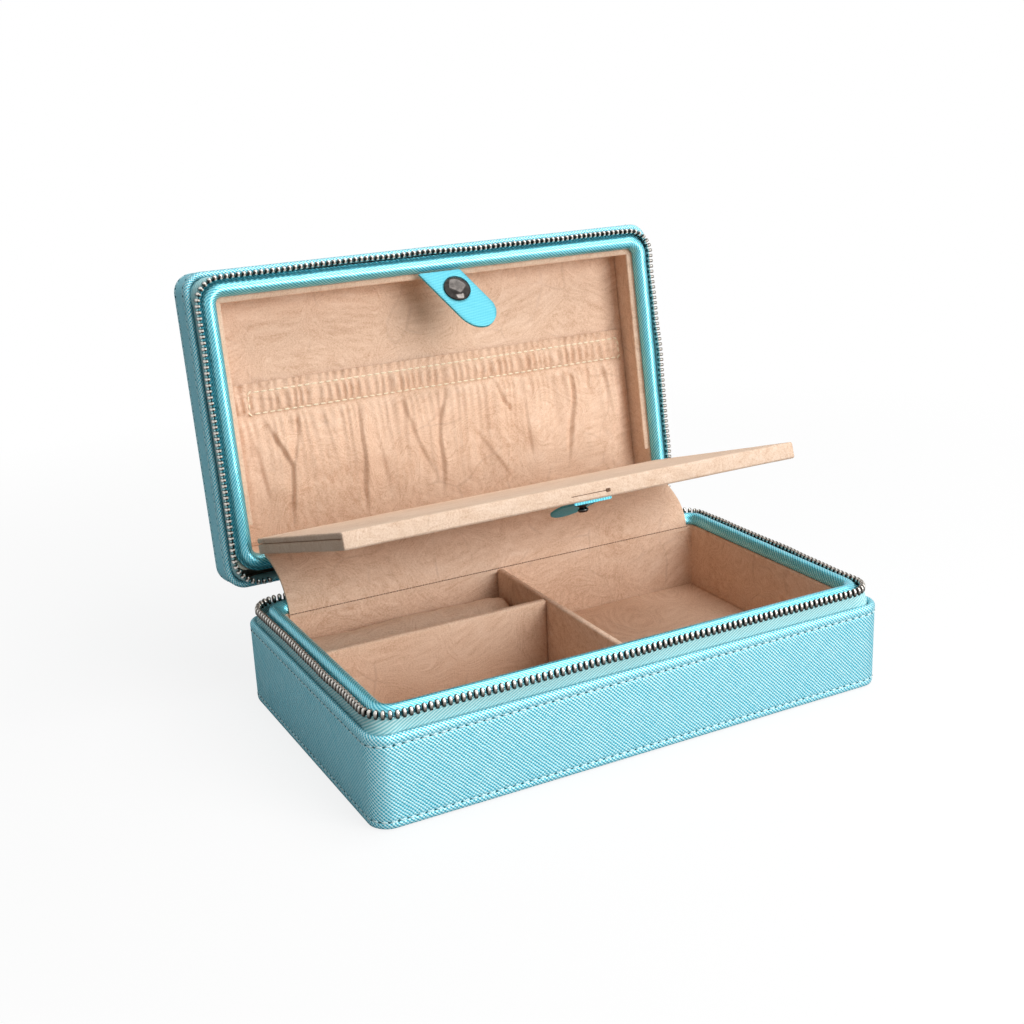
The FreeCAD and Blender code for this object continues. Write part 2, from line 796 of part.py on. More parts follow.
def domed_cap(label, radius, rim, height, placement):
    # A pressed metal cap: a short upright rim under a round dome.
    body = new_body(label)
    sketch = new_sketch(body, "profile_" + label, "XZ_Plane")
    rise = height.value - rim.value
    dome_radius = (radius.value ** 2 + rise ** 2) / (2 * rise)
    centre = Vector(0, height.value - dome_radius, 0)
    foot = Vector(radius.value, 0, 0)
    shoulder = Vector(radius.value, rim.value, 0)
    crown = Vector(0, height.value, 0)
    first = math.asin((rim.value - centre.y) / dome_radius)
    circle = Part.Circle(centre, Vector(0, 0, 1), dome_radius)
    under = sketch.addGeometry(Part.LineSegment(Vector(0, 0, 0), foot))
    side = sketch.addGeometry(Part.LineSegment(foot, shoulder))
    dome = sketch.addGeometry(Part.ArcOfCircle(circle, first, math.pi / 2))
    axis = sketch.addGeometry(Part.LineSegment(crown, Vector(0, 0, 0)))
    sketch.addConstraint(Sketcher.Constraint("Coincident", under, 1, -1, 1))
    sketch.addConstraint(Sketcher.Constraint("Coincident", under, 2, side, 1))
    sketch.addConstraint(Sketcher.Constraint("Coincident", side, 2, dome, 1))
    sketch.addConstraint(Sketcher.Constraint("Coincident", dome, 2, axis, 1))
    sketch.addConstraint(Sketcher.Constraint("Coincident", axis, 2, under, 1))
    sketch.addConstraint(Sketcher.Constraint("Horizontal", under))
    sketch.addConstraint(Sketcher.Constraint("Vertical", side))
    sketch.addConstraint(Sketcher.Constraint("Vertical", axis))
    sketch.addConstraint(Sketcher.Constraint("PointOnObject", dome, 3, -2))
    bound(sketch, "DistanceX", (-1, 1, under, 2), radius)
    bound(sketch, "DistanceY", (-1, 1, side, 2), rim)
    bound(sketch, "DistanceY", (-1, 1, dome, 2), height)
    spin = body.newObject("PartDesign::Revolution", "pressed_" + label)
    spin.Profile = sketch
    spin.ReferenceAxis = (sketch, ["V_Axis"])
    spin.Angle = 360
    return finished(body, label, placement)


lid_strap()
cap_place = Vector(0, -size("cap_back").value, size("strap_thickness").value)
cap_frame = strap_frame.multiply(Placement(cap_place, Rotation()))
domed_cap("lid_snap_cap", size("cap_diameter") / 2, size("cap_rim"), size("cap_height"), cap_frame)
socket = size("socket_diameter") / 2
socket_height = size("socket_height")
socket_floor = socket_height - size("socket_depth")
socket_outline = [
    (zero, zero),
    (socket, zero),
    (socket, size("socket_shoulder")),
    (size("socket_crown") / 2, socket_height),
    (ball, socket_height),
    (ball, socket_floor),
    (zero, socket_floor),
]
socket_place = Vector(0, -size("cap_back").value, 0)
socket_turn = Rotation(Vector(1, 0, 0), 180)
turned_part("lid_snap_socket", socket_outline, strap_frame.multiply(Placement(socket_place, socket_turn)))


def hinge_lining():
    # Suede strip that bridges the two linings behind the trays and carries the flap's back edge.
    half = size("hinge_lining_thickness").value / 2
    lining_edge = Vector(0, (inner_back + strip_gap * 2).value, (base_rise - lining_drop).value)
    start = lining_edge + Vector(0, 0, half + strip_gap.value)
    under_flap = flap_axis - Vector(0, 0, half + strip_gap.value * 2)
    along = (under_flap - start).normalize()
    end = start + along * ((under_flap - start).Length + half)
    arch = Vector(0, -along.z, along.y) * size("hinge_lining_arch").value
    middle = (start + end) * 0.5 + arch
    strip = doc.addObject("Part::Feature", "suede_strip")
    width = size("hinge_lining_width").value
    strip.Shape = strip_along([edge_of(start, middle, end)], width, 2 * half)
    finished(strip, "hinge_lining", Placement())


def hinge_spine():
    # Leatherette back strip, sewn to both halves and bent under the open lid.
    half = size("spine_thickness").value / 2
    overlap = size("spine_overlap").value
    back = half_depth.value + half + size("spine_gap").value
    lid_crest = (base_rise + cover_drop).value
    lid_edge = lid_opened.multVec(Vector(0, back, lid_crest))
    lid_way = lid_turn.multVec(Vector(0, 0, 1))
    corner = lid_edge - lid_way * ((lid_edge.y - back) / lid_way.y)
    half_turn = math.radians(size("lid_angle").value) / 2
    bend = size("spine_bend").value
    run = bend * math.tan(half_turn)
    low = Vector(0, back, (base_rise - cover_drop).value - overlap)
    bend_start = corner - Vector(0, 0, run)
    bend_end = corner + lid_way * run
    bend_centre = bend_start + Vector(0, bend, 0)
    bend_middle = bend_centre + Vector(0, -math.cos(half_turn), math.sin(half_turn)) * bend
    lid_far = lid_edge + lid_way * overlap
    edges = [
        edge_of(low, bend_start),
        edge_of(bend_start, bend_middle, bend_end),
        edge_of(bend_end, lid_far),
    ]
    strip = doc.addObject("Part::Feature", "leather_spine")
    strip.Shape = strip_along(edges, size("spine_width").value, 2 * half)
    finished(strip, "hinge_spine", Placement())


hinge_lining()
hinge_spine()

# The slider is parked at the zip's right end, behind the case.
slider_length = size("slider_length")
slider_x = half_length - corner_radius - size("tape_return") + slider_length / 2
zip_back_y = half_depth - zip_inset
slider_frame = Placement(Vector(slider_x.value, zip_back_y.value, base_rise.value), Rotation())
slider_gap = size("slider_gap")
slider_plate = size("slider_plate")


def sketch_facing_back(body, name, offset):
    # A sketch in the XZ plane, its offset measured towards the back.
    return new_sketch(body, name, "XZ_Plane", zero - offset)


def zip_slider():
    body = new_body("zip_slider")
    half_height = size("slider_height") / 2
    half_inner = size("slider_inner") / 2
    radius = size("slider_corner")
    outer_face = slider_gap / 2 + slider_plate
    inner_face = zero - slider_gap / 2
    plates = (("outer", outer_face, half_height), ("inner", inner_face, half_inner))
    for word, offset, half in plates:
        sketch = sketch_facing_back(body, "plate_" + word, offset)
        rounded_rectangle(sketch, slider_length, half, half, radius)
        pad(body, sketch, word + "_plate", slider_plate)
    post = sketch_facing_back(body, "post_outline", slider_gap / 2 + slider_plate / 2)
    half_post = size("slider_post") / 2
    rounded_rectangle(post, size("slider_post"), half_post, half_post, size("post_round"))
    pad(body, post, "post", slider_gap + slider_plate)
    bail_reach = slider_gap / 2 + slider_plate + size("bail_opening") + size("bail_bar")
    bail_half = size("bail_bar") / 2
    bail = sketch_facing_back(body, "bail_outline", bail_reach)
    rounded_rectangle(bail, size("bail_length"), bail_half, bail_half, size("bail_round"))
    block = pad(body, bail, "bail", size("bail_bar") + size("bail_opening") + slider_plate / 2)
    doc.recompute()
    opening_reach = bail_reach - size("bail_bar")
    window = sketch_facing_back(body, "bail_window", opening_reach)
    clear = size("bail_length") - size("bail_bar") * 2
    rounded_rectangle(window, clear, half_height, half_height, size("bail_round"))
    cut = body.newObject("PartDesign::Pocket", "bail_opening")
    cut.Profile = window
    cut.Reversed = True
    cut.setExpression("Length", size("bail_opening").text)
    doc.recompute()
    if cut.Shape.Volume >= block.Shape.Volume:
        raise RuntimeError("the slider's bail is not open")
    finished(body, "zip_slider", slider_frame)


zip_slider()

bail_axis_offset = slider_gap / 2 + slider_plate + size("bail_opening") + size("bail_bar") / 2
pull_axis = slider_frame.multVec(Vector(0, bail_axis_offset.value, 0))
ring_radius = size("pull_ring") / 2
wire = size("pull_wire") / 2
plate_face = slider_gap / 2 + slider_plate
ring_reach = plate_face + strip_gap + wire + ring_radius
ring_drop = size("bail_bar") / 2
ring_centre = slider_frame.multVec(Vector(0, ring_reach.value, -ring_drop.value))


def pull_ring():
    ring = doc.addObject("Part::Torus", "wire_ring")
    ring.setExpression("Radius1", ring_radius.text)
    ring.setExpression("Radius2", wire.text)
    finished(ring, "zip_pull_ring", Placement(ring_centre, Rotation(Vector(0, 1, 0), 90)))


def pull_tab():
    # Leatherette tab threaded on the ring's lower bow.
    body = new_body("zip_pull_tab")
    sketch = new_sketch(body, "outline_zip_pull_tab", "XZ_Plane")
    eye_edge = size("pull_eye")
    length = size("pull_tab_length")
    corner = size("pull_tab_corner")
    rounded_rectangle(sketch, size("pull_tab_width"), length - eye_edge, eye_edge, corner)
    eye = sketch.addGeometry(Part.Circle(Vector(0, 0, 0), Vector(0, 0, 1), eye_edge.value / 2))
    sketch.addConstraint(Sketcher.Constraint("Coincident", eye, 3, -1, 1))
    bound(sketch, "Radius", (eye,), eye_edge / 2)
    pad(body, sketch, "tab_zip_pull_tab", size("pull_tab_thickness"), midplane=True)
    lowest = ring_centre - Vector(0, 0, ring_radius.value)
    finished(body, "zip_pull_tab", Placement(lowest, Rotation()))


def zip_end_stop():
    # Metal stop clamped over the tape at the zip's left end.
    stop = doc.addObject("Part::Box", "stop_block")
    width = slider_gap
    height = size("tape_drop")
    stop.setExpression("Length", size("stop_length").text)
    stop.setExpression("Width", width.text)
    stop.setExpression("Height", height.text)
    place = Vector(
        -(slider_x + size("stop_length") / 2).value,
        (zip_back_y - width / 2).value,
        (base_rise - height).value,
    )
    finished(stop, "zip_end_stop", Placement(place, Rotation()))


pull_ring()
pull_tab()
zip_end_stop()

doc.recompute()
failed = [item.Name for item in doc.Objects if "Invalid" in item.State or "Error" in item.State]
if failed:
    raise RuntimeError("failed features: " + ", ".join(failed))
for item in sub_parts:
    if item.Shape.isNull() or not item.Shape.isValid():
        raise RuntimeError("no valid shape: " + item.Label)

os.makedirs("parts", exist_ok=True)
for item in sub_parts:
    item.Shape.exportStep("parts/%s.step" % item.Label)
print("lid axis", axis_y.value, axis_z.value)
print("flap axis", tuple(round(value, 3) for value in flap_axis))
print("pull axis", tuple(round(value, 3) for value in pull_axis))
print("sub-parts", len(sub_parts))
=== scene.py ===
import math
import bmesh
import bpy
from mathutils import Matrix, Vector, noise


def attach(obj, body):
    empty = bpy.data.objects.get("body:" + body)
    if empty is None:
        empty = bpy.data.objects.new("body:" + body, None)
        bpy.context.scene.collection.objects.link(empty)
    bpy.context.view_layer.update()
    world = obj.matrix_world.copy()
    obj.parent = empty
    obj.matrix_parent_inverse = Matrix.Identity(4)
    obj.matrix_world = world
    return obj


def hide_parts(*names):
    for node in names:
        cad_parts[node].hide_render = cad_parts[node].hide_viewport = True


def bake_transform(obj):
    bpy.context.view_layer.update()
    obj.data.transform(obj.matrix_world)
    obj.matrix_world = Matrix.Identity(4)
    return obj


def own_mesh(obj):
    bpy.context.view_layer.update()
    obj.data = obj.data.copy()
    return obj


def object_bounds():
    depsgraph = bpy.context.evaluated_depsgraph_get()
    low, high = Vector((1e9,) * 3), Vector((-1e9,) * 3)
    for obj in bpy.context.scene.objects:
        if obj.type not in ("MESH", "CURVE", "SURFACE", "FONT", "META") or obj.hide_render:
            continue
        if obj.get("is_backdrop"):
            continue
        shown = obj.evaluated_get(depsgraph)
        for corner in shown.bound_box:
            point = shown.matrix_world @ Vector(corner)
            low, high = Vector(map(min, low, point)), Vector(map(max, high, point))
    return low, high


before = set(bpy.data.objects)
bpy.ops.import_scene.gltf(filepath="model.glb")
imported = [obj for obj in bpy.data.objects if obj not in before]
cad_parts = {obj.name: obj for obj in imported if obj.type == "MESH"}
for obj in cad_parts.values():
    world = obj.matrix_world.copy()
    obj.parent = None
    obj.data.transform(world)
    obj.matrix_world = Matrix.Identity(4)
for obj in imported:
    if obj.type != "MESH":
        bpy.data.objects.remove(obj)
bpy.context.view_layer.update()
mm = 0.001

case = {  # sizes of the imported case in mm
    "length": 195.0,
    "depth": 116.0,
    "corner": 7.0,
    "height": 60.8,
    "axisY": 62.0,
    "axisZ": 33.3,
    "lidAngle": 98.6,
    "backStep": 2.9,
    "mouthInset": 9.8,
    "mouthCorner": 1.5,
    "mouthRight": 87.7,
    "mouthFront": 48.2,
    "mouthBack": 45.3,
    "plateTop": 3.0,
    "flapAxisY": 67.368,
    "flapAxisZ": 49.732,
    "flapTilt": 17.1,
}

baseFrame = Matrix.Identity(4)
toAxis = Matrix.Translation((0, case["axisY"], case["axisZ"]))
openTurn = toAxis @ Matrix.Rotation(-math.radians(case["lidAngle"]), 4, "X") @ toAxis.inverted()
lidFrame = openTurn @ Matrix.Translation((0, 0, case["height"])) @ Matrix.Rotation(math.pi, 4, "Y")
flapHinge = Matrix.Translation((0, case["flapAxisY"], case["flapAxisZ"]))
flapFrame = flapHinge @ Matrix.Rotation(-math.radians(case["flapTilt"]), 4, "X")
upsideDown = Matrix.Rotation(math.pi, 4, "X")
halves = {
    "base": {"rise": 37.8, "floor": 7.9, "frame": baseFrame, "coverSeed": 0.0, "seed": 8.0,
             "plateNode": "base_cover_bottom", "padNode": "base_floor_pad"},
    "lid": {"rise": 23.0, "floor": 5.6, "frame": lidFrame, "coverSeed": 4.0, "seed": 3.0,
            "plateNode": "lid_cover_top", "padNode": "lid_lining_panel"},
}
print("frame loaded", len(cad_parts), "nodes")


def hexColour(text):
    channels = [int(text[at:at + 2], 16) / 255 for at in (1, 3, 5)]
    linear = [c / 12.92 if c <= 0.04045 else ((c + 0.055) / 1.055) ** 2.4 for c in channels]
    return (*linear, 1.0)


def addNode(tree, kind, settings=None, links=None, stops=()):
    # a link from a node takes its first output; stops are a colour ramp's (place, hex colour)
    node = tree.nodes.new(kind)
    for key, value in (settings or {}).items():
        if isinstance(key, int) or key in node.inputs:
            node.inputs[key].default_value = value
        else:
            setattr(node, key, value)
    for key, source in (links or {}).items():
        output = source.outputs[0] if isinstance(source, bpy.types.Node) else source
        tree.links.new(output, node.inputs[key])
    for _ in stops[2:]:
        node.color_ramp.elements.new(0.5)
    for n, (at, colour) in enumerate(stops):
        node.color_ramp.elements[n].position = at
        node.color_ramp.elements[n].color = hexColour(colour)
    return node


def emptyTree(owner):
    owner.use_nodes = True
    owner.node_tree.nodes.clear()
    return owner.node_tree


def newMaterial(name):
    material = bpy.data.materials.new(name)
    return material, emptyTree(material)


def bandScale(period):
    return 2 * math.pi / 20 / (period * mm)  # wave texture scale for stripes this many mm apart


def grainScale(size):
    return 1 / (size * mm)  # noise and cell texture scale for grains this many mm across


def saffianoLeatherette(name, ridgeAndSheen, middle, valley, shine):
    # pearl-coated PU with a pressed crosshatch: pale thread-like ridges,
    # deep turquoise between them and a wide soft gloss; the pale ridges are partly painted sheen
    material, tree = newMaterial(name)
    place = addNode(tree, "ShaderNodeTexCoord").outputs[shine["by"]]
    sets = []
    for turn in (-shine["turn"], shine["turn"]):
        lie = addNode(tree, "ShaderNodeMapping", {"Rotation": (0, 0, math.radians(turn))}, {"Vector": place})
        wave = addNode(tree, "ShaderNodeTexWave", {
            "Scale": bandScale(shine["hatch"]),
            "Distortion": shine["waver"],
            "Detail": 2.0,
            "Detail Scale": 1.2,
        }, {"Vector": lie})
        long = addNode(tree, "ShaderNodeMapping", {"Scale": (1.0, 0.09, 1.0)}, {"Vector": lie})
        uneven = addNode(tree, "ShaderNodeTexNoise", {
            "Scale": grainScale(shine["uneven"]), "Detail": 2.0}, {"Vector": long})
        press = addNode(tree, "ShaderNodeMapRange", {
            "From Min": 0.3, "From Max": 0.7, "To Min": 0.75, "To Max": 1.1}, {"Value": uneven})
        sets.append(addNode(tree, "ShaderNodeMath", {"operation": "MULTIPLY"}, {
            0: wave.outputs["Fac"], 1: press}))
    height = addNode(tree, "ShaderNodeMath", {"operation": "MULTIPLY_ADD", 1: shine["cross"]}, {
        0: sets[1], 2: sets[0]})
    # the ridge colour is partly the pattern's own pale thread and partly painted sheen
    colour = addNode(tree, "ShaderNodeValToRGB", None, {"Fac": height}, [
        (0.1, valley), (0.55, middle), (1.0, ridgeAndSheen)])
    bump = addNode(tree, "ShaderNodeBump", {"Strength": shine["bump"], "Distance": 0.2 * mm}, {
        "Height": height})
    shader = addNode(tree, "ShaderNodeBsdfPrincipled", {
        "Metallic": shine["metallic"],
        "Roughness": shine["roughness"],
        "Specular IOR Level": 0.06,
        "Specular Tint": hexColour(middle),
        "Coat Weight": shine["coat"],
        "Coat Roughness": shine["coatRoughness"],
        "Coat IOR": 1.7,
    }, {"Base Color": colour, "Normal": bump})
    addNode(tree, "ShaderNodeOutputMaterial", None, {"Surface": shader})
    return material


coverShine = {
    "by": "UV",
    "hatch": 0.93,
    "waver": 1.8,
    "uneven": 1.3,
    "turn": 45,
    "cross": 0.6,
    "metallic": 0.5,
    "roughness": 0.46,
    "coat": 0.05,
    "coatRoughness": 0.4,
    "bump": 0.5,
}
rollShine = {**coverShine, "hatch": 0.9, "waver": 1.2, "turn": 50, "cross": 0.3, "metallic": 0.6,
             "roughness": 0.33, "coat": 0.9, "coatRoughness": 0.25, "bump": 0.3}
strapShine = {**rollShine, "hatch": 0.7, "turn": 45, "cross": 0.2, "metallic": 0.4, "roughness": 0.42,
              "coat": 0.1, "coatRoughness": 0.4}
pullShine = {**strapShine, "by": "Object"}
coverLeather = saffianoLeatherette("pearl saffiano leatherette", "#BFE1E6", "#62BED0", "#309AB0", coverShine)
rollLeather = saffianoLeatherette("pearl saffiano on rolls", "#92DFEA", "#4CBED2", "#2A9FB6", rollShine)
strapLeather = saffianoLeatherette("fine saffiano strap", "#6DBBC8", "#59AEBE", "#479EB0", strapShine)
pullLeather = saffianoLeatherette("fine saffiano pull", "#6CCFE0", "#4BBFD4", "#35AAC1", pullShine)

suede = {  # sizes of the nap's patterns in mm
    "drift": 26,
    "bend": 20,
    "fan": 30,
    "streak": 1.7,
    "patch": 19,
    "fibre": 0.5,
    "crease": 21,
    "relief": 0.25,
}


def microSuede(name, pale, middle, deep, crease):
    # brushed polyester suede: matt, a pale sheen at grazing angles, crushed fans of nap lying different ways
    material, tree = newMaterial(name)
    place = addNode(tree, "ShaderNodeTexCoord").outputs["Object"]
    drift = addNode(tree, "ShaderNodeTexNoise", {"Scale": grainScale(suede["drift"]), "Detail": 1.0}, {
        "Vector": place})
    bent = addNode(tree, "ShaderNodeVectorMath", {"operation": "MULTIPLY_ADD", 1: [suede["bend"] * mm] * 3}, {
        0: drift.outputs["Color"], 2: place})
    fans = addNode(tree, "ShaderNodeTexVoronoi", {
        "feature": "SMOOTH_F1", "Scale": grainScale(suede["fan"]), "Smoothness": 0.5}, {"Vector": bent})
    spin = addNode(tree, "ShaderNodeMath", {"operation": "MULTIPLY", 1: 3.1}, {0: fans.outputs["Color"]})
    turned = addNode(tree, "ShaderNodeVectorRotate", {"Axis": (0.45, 0.5, 0.74)}, {
        "Vector": place, "Angle": spin})
    combed = addNode(tree, "ShaderNodeMapping", {"Scale": (1, 0.1, 0.5)}, {"Vector": turned})
    streaks = addNode(tree, "ShaderNodeTexNoise", {
        "Scale": grainScale(suede["streak"]), "Detail": 4.0, "Roughness": 0.6}, {"Vector": combed})
    patches = addNode(tree, "ShaderNodeTexNoise", {"Scale": grainScale(suede["patch"]), "Detail": 3.0}, {
        "Vector": place})
    fibres = addNode(tree, "ShaderNodeTexNoise", {"Scale": grainScale(suede["fibre"]), "Detail": 2.0}, {
        "Vector": place})
    level = addNode(tree, "ShaderNodeMath", {"operation": "MULTIPLY", 1: 0.2}, {0: fans.outputs["Color"]})
    for layer, weight in ((patches, 0.35), (streaks, 1.0), (fibres, 1.0)):
        level = addNode(tree, "ShaderNodeMath", {"operation": "MULTIPLY_ADD", 1: weight}, {
            0: layer, 2: level})
    centred = addNode(tree, "ShaderNodeMath", {"operation": "SUBTRACT", 1: 0.775}, {0: level})
    nap = addNode(tree, "ShaderNodeValToRGB", None, {"Fac": centred}, [
        (0.12, deep), (0.5, middle), (0.88, pale)])
    # painted shade: thin darker lines along the creases, in some patches, mixed in from the crease colour
    creaseLines = addNode(tree, "ShaderNodeTexVoronoi", {
        "feature": "DISTANCE_TO_EDGE", "Scale": grainScale(suede["crease"])}, {"Vector": bent})
    thin = addNode(tree, "ShaderNodeMapRange", {"From Max": 0.035, "To Min": 1.0, "To Max": 0.0}, {
        "Value": creaseLines})
    where = addNode(tree, "ShaderNodeMapRange", {"From Min": 0.48, "From Max": 0.62, "To Max": 0.24}, {
        "Value": patches})
    creaseShade = addNode(tree, "ShaderNodeMath", {"operation": "MULTIPLY"}, {0: thin, 1: where})
    mixed = addNode(tree, "ShaderNodeMix", {"data_type": "RGBA", 7: hexColour(crease)}, {0: creaseShade, 6: nap})
    bump = addNode(tree, "ShaderNodeBump", {"Strength": 0.25, "Distance": suede["relief"] * mm}, {
        "Height": level})
    shader = addNode(tree, "ShaderNodeBsdfPrincipled", {
        "Roughness": 0.95,
        "Specular IOR Level": 0.15,
        "Sheen Weight": 0.25,
        "Sheen Roughness": 0.45,
        "Sheen Tint": hexColour("#F3DCC6"),
    }, {"Base Color": mixed.outputs[2], "Normal": bump})
    addNode(tree, "ShaderNodeOutputMaterial", None, {"Surface": shader})
    return material


def wovenTape(name):
    # polyester zip tape: pale, matt, with a fine diagonal twill
    material, tree = newMaterial(name)
    uv = addNode(tree, "ShaderNodeTexCoord").outputs["UV"]
    lie = addNode(tree, "ShaderNodeMapping", {"Rotation": (0, 0, math.radians(58))}, {"Vector": uv})
    twill = addNode(tree, "ShaderNodeTexWave", {"Scale": bandScale(0.9), "Distortion": 0.6}, {"Vector": lie})
    colour = addNode(tree, "ShaderNodeValToRGB", None, {"Fac": twill.outputs["Fac"]}, [
        (0.1, "#7FC4CB"), (0.6, "#A9DDE0"), (0.95, "#CBECEC")])
    bump = addNode(tree, "ShaderNodeBump", {"Strength": 0.4, "Distance": 0.12 * mm}, {
        "Height": twill.outputs["Fac"]})
    shader = addNode(tree, "ShaderNodeBsdfPrincipled", {"Roughness": 0.75, "Sheen Weight": 0.2}, {
        "Base Color": colour, "Normal": bump})
    addNode(tree, "ShaderNodeOutputMaterial", None, {"Surface": shader})
    return material


def platedMetal(name, bright, dull, low, high):
    # nickel-plated metal: bright, with small differences of polish where it has been handled
    material, tree = newMaterial(name)
    place = addNode(tree, "ShaderNodeTexCoord").outputs["Object"]
    wear = addNode(tree, "ShaderNodeTexNoise", {"Scale": grainScale(1.5), "Detail": 3.0}, {"Vector": place})
    colour = addNode(tree, "ShaderNodeValToRGB", None, {"Fac": wear}, [(0.3, dull), (0.7, bright)])
    polish = addNode(tree, "ShaderNodeMapRange", {"To Min": low, "To Max": high}, {"Value": wear})
    shader = addNode(tree, "ShaderNodeBsdfPrincipled", {"Metallic": 1.0}, {
        "Base Color": colour, "Roughness": polish})
    addNode(tree, "ShaderNodeOutputMaterial", None, {"Surface": shader})
    return material


def toothMetal(name):
    # die-cast zip teeth with painted shade and highlight: dull and dark at the tape and on the flanks between
    # teeth, painted bright on the faces and heads
    material, tree = newMaterial(name)
    rise = addNode(tree, "ShaderNodeAttribute", {"attribute_name": "rise"}).outputs["Fac"]
    colour = addNode(tree, "ShaderNodeValToRGB", None, {"Fac": rise}, [
        (0.2, "#3E3935"), (0.5, "#918C85"), (0.85, "#DAD7D1")])
    shader = addNode(tree, "ShaderNodeBsdfPrincipled", {"Metallic": 1.0, "Roughness": 0.28}, {
        "Base Color": colour})
    addNode(tree, "ShaderNodeOutputMaterial", None, {"Surface": shader})
    return material


def sewingThread(name, light, dark):
    # twisted polyester thread: soft gloss and a fine spiral of plies, drawn coarse so that it shows
    material, tree = newMaterial(name)
    place = addNode(tree, "ShaderNodeTexCoord").outputs["Object"]
    lie = addNode(tree, "ShaderNodeMapping", {"Rotation": (0.6, 0.5, 0.7)}, {"Vector": place})
    plies = addNode(tree, "ShaderNodeTexWave", {"Scale": bandScale(0.45)}, {"Vector": lie})
    colour = addNode(tree, "ShaderNodeValToRGB", None, {"Fac": plies.outputs["Fac"]}, [
        (0.1, dark), (0.7, light)])
    shader = addNode(tree, "ShaderNodeBsdfPrincipled", {"Roughness": 0.55, "Sheen Weight": 0.3}, {
        "Base Color": colour})
    addNode(tree, "ShaderNodeOutputMaterial", None, {"Surface": shader})
    return material


def pressedFill(name, pale, deep, grain, rough):
    # board or foam inside the case, and the painted shade of needle holes and slits: dull, speckled fibre
    material, tree = newMaterial(name)
    place = addNode(tree, "ShaderNodeTexCoord").outputs["Object"]
    specks = addNode(tree, "ShaderNodeTexNoise", {"Scale": grainScale(grain), "Detail": 4.0}, {
        "Vector": place})
    colour = addNode(tree, "ShaderNodeValToRGB", None, {"Fac": specks}, [(0.35, deep), (0.65, pale)])
    bump = addNode(tree, "ShaderNodeBump", {"Strength": 0.2, "Distance": 0.2 * mm}, {"Height": specks})
    shader = addNode(tree, "ShaderNodeBsdfPrincipled", {"Roughness": rough}, {
        "Base Color": colour, "Normal": bump})
    addNode(tree, "ShaderNodeOutputMaterial", None, {"Surface": shader})
    return material


# the last colour of each suede is painted shade in its creases
liningSuede = microSuede("beige micro suede", "#EFD3BD", "#E1C0A6", "#CAA388", "#A0765E")
paleSuede = microSuede("pale brushed suede", "#EDD5C2", "#E0C4AC", "#CBA88E", "#A98468")
zipTape = wovenTape("woven zip tape")
shadedNickelTeeth = toothMetal("rubbed nickel teeth")
zipNickel = platedMetal("nickel zip metal", "#B9B6B0", "#8B8883", 0.28, 0.42)
# painted reflection: the snap's chrome is darkened to stand for the dark room it mirrors
snapPaintedReflection = platedMetal("chromed snap", "#56524F", "#3C3937", 0.06, 0.13)
coverThread = sewingThread("turquoise sewing thread", "#DDF5F8", "#A8DEE6")
creamThread = sewingThread("cream sewing thread", "#F6EAD2", "#E2CFAE")
# partly painted shade: the seam thread is darker than the suede to show the crease's shade
seamThreadAndShade = sewingThread("tan sewing thread", "#A88369", "#8C6A54")
# painted shade: needle holes drawn as dark teal spots where shade falls into them
needleHoleShade = pressedFill("shaded needle hole", "#1F5F6B", "#123F48", 0.4, 0.9)
# painted shade: dark brown for the inside of the flap's slit and for the hinge seam's needle holes
slitShade = pressedFill("shaded suede slit", "#866650", "#5A4232", 0.5, 0.95)
greyBoard = pressedFill("grey board", "#B4ADA2", "#9B948A", 0.9, 0.9)
wallFoam = pressedFill("wall foam", "#E6DFCF", "#D6CDBA", 1.4, 0.95)
print("materials made", len(bpy.data.materials))


def lumps(x, y, z):
    return noise.noise(Vector((x, y, z)))


def addObject(name, data):
    item = bpy.data.objects.new(name, data)
    bpy.context.collection.objects.link(item)
    return item


def evaluated(item):
    # the item with its modifiers applied, as a plain mesh
    graph = bpy.context.evaluated_depsgraph_get()
    return bpy.data.meshes.new_from_object(item.evaluated_get(graph), depsgraph=graph)


def makePiece(name, verts, faces, uvs, place, material, sharp=35):
    mesh = bpy.data.meshes.new(name)
    mesh.from_pydata([(place @ Vector(v)) * mm for v in verts], [], faces)
    layer = mesh.uv_layers.new(name="surface")
    for slot, uv in zip(layer.data, uvs):
        slot.uv = (uv[0] * mm, uv[1] * mm)
    work = bmesh.new()
    work.from_mesh(mesh)
    bmesh.ops.recalc_face_normals(work, faces=work.faces)
    work.to_mesh(mesh)
    work.free()
    mesh.shade_smooth()
    mesh.set_sharp_from_angle(angle=math.radians(sharp))
    mesh.materials.append(material)
    return addObject(name, mesh)


def roundedPath(inset, radius, setBack=0.0, step=3.0, turns=10):
    # stations round a tray, anticlockwise from the middle of the back: x, y, outward x, outward y, run
    right = case["length"] / 2 - inset
    front = inset - case["depth"] / 2
    back = case["depth"] / 2 - inset - setBack
    spots = []

    def straight(start, end, out):
        count = max(1, round(math.dist(start, end) / step))
        for n in range(count):
            t = n / count
            spots.append((start[0] + (end[0] - start[0]) * t, start[1] + (end[1] - start[1]) * t, *out))

    def bend(x, y, first):
        for n in range(turns):
            a = math.radians(first + 90 * n / turns)
            out = (math.cos(a), math.sin(a))
            spots.append((x + radius * out[0], y + radius * out[1], *out))

    straight((0, back), (radius - right, back), (0, 1))
    bend(radius - right, back - radius, 90)
    straight((-right, back - radius), (-right, front + radius), (-1, 0))
    bend(radius - right, front + radius, 180)
    straight((radius - right, front), (right - radius, front), (0, -1))
    bend(right - radius, front + radius, 270)
    straight((right, front + radius), (right, back - radius), (1, 0))
    bend(right - radius, back - radius, 0)
    straight((right - radius, back), (0, back), (0, 1))
    run = 0.0
    stations = []
    for n, spot in enumerate(spots):
        if n:
            run += math.dist(spot[:2], spots[n - 1][:2])
        stations.append((*spot, run))
    return stations


def between(start, end, count):
    # points evenly apart from the start to just short of the end
    return [tuple(a + (b - a) * n / count for a, b in zip(start, end)) for n in range(count)]


def pathLength(stations):
    return stations[-1][4] + math.dist(stations[-1][:2], stations[0][:2])


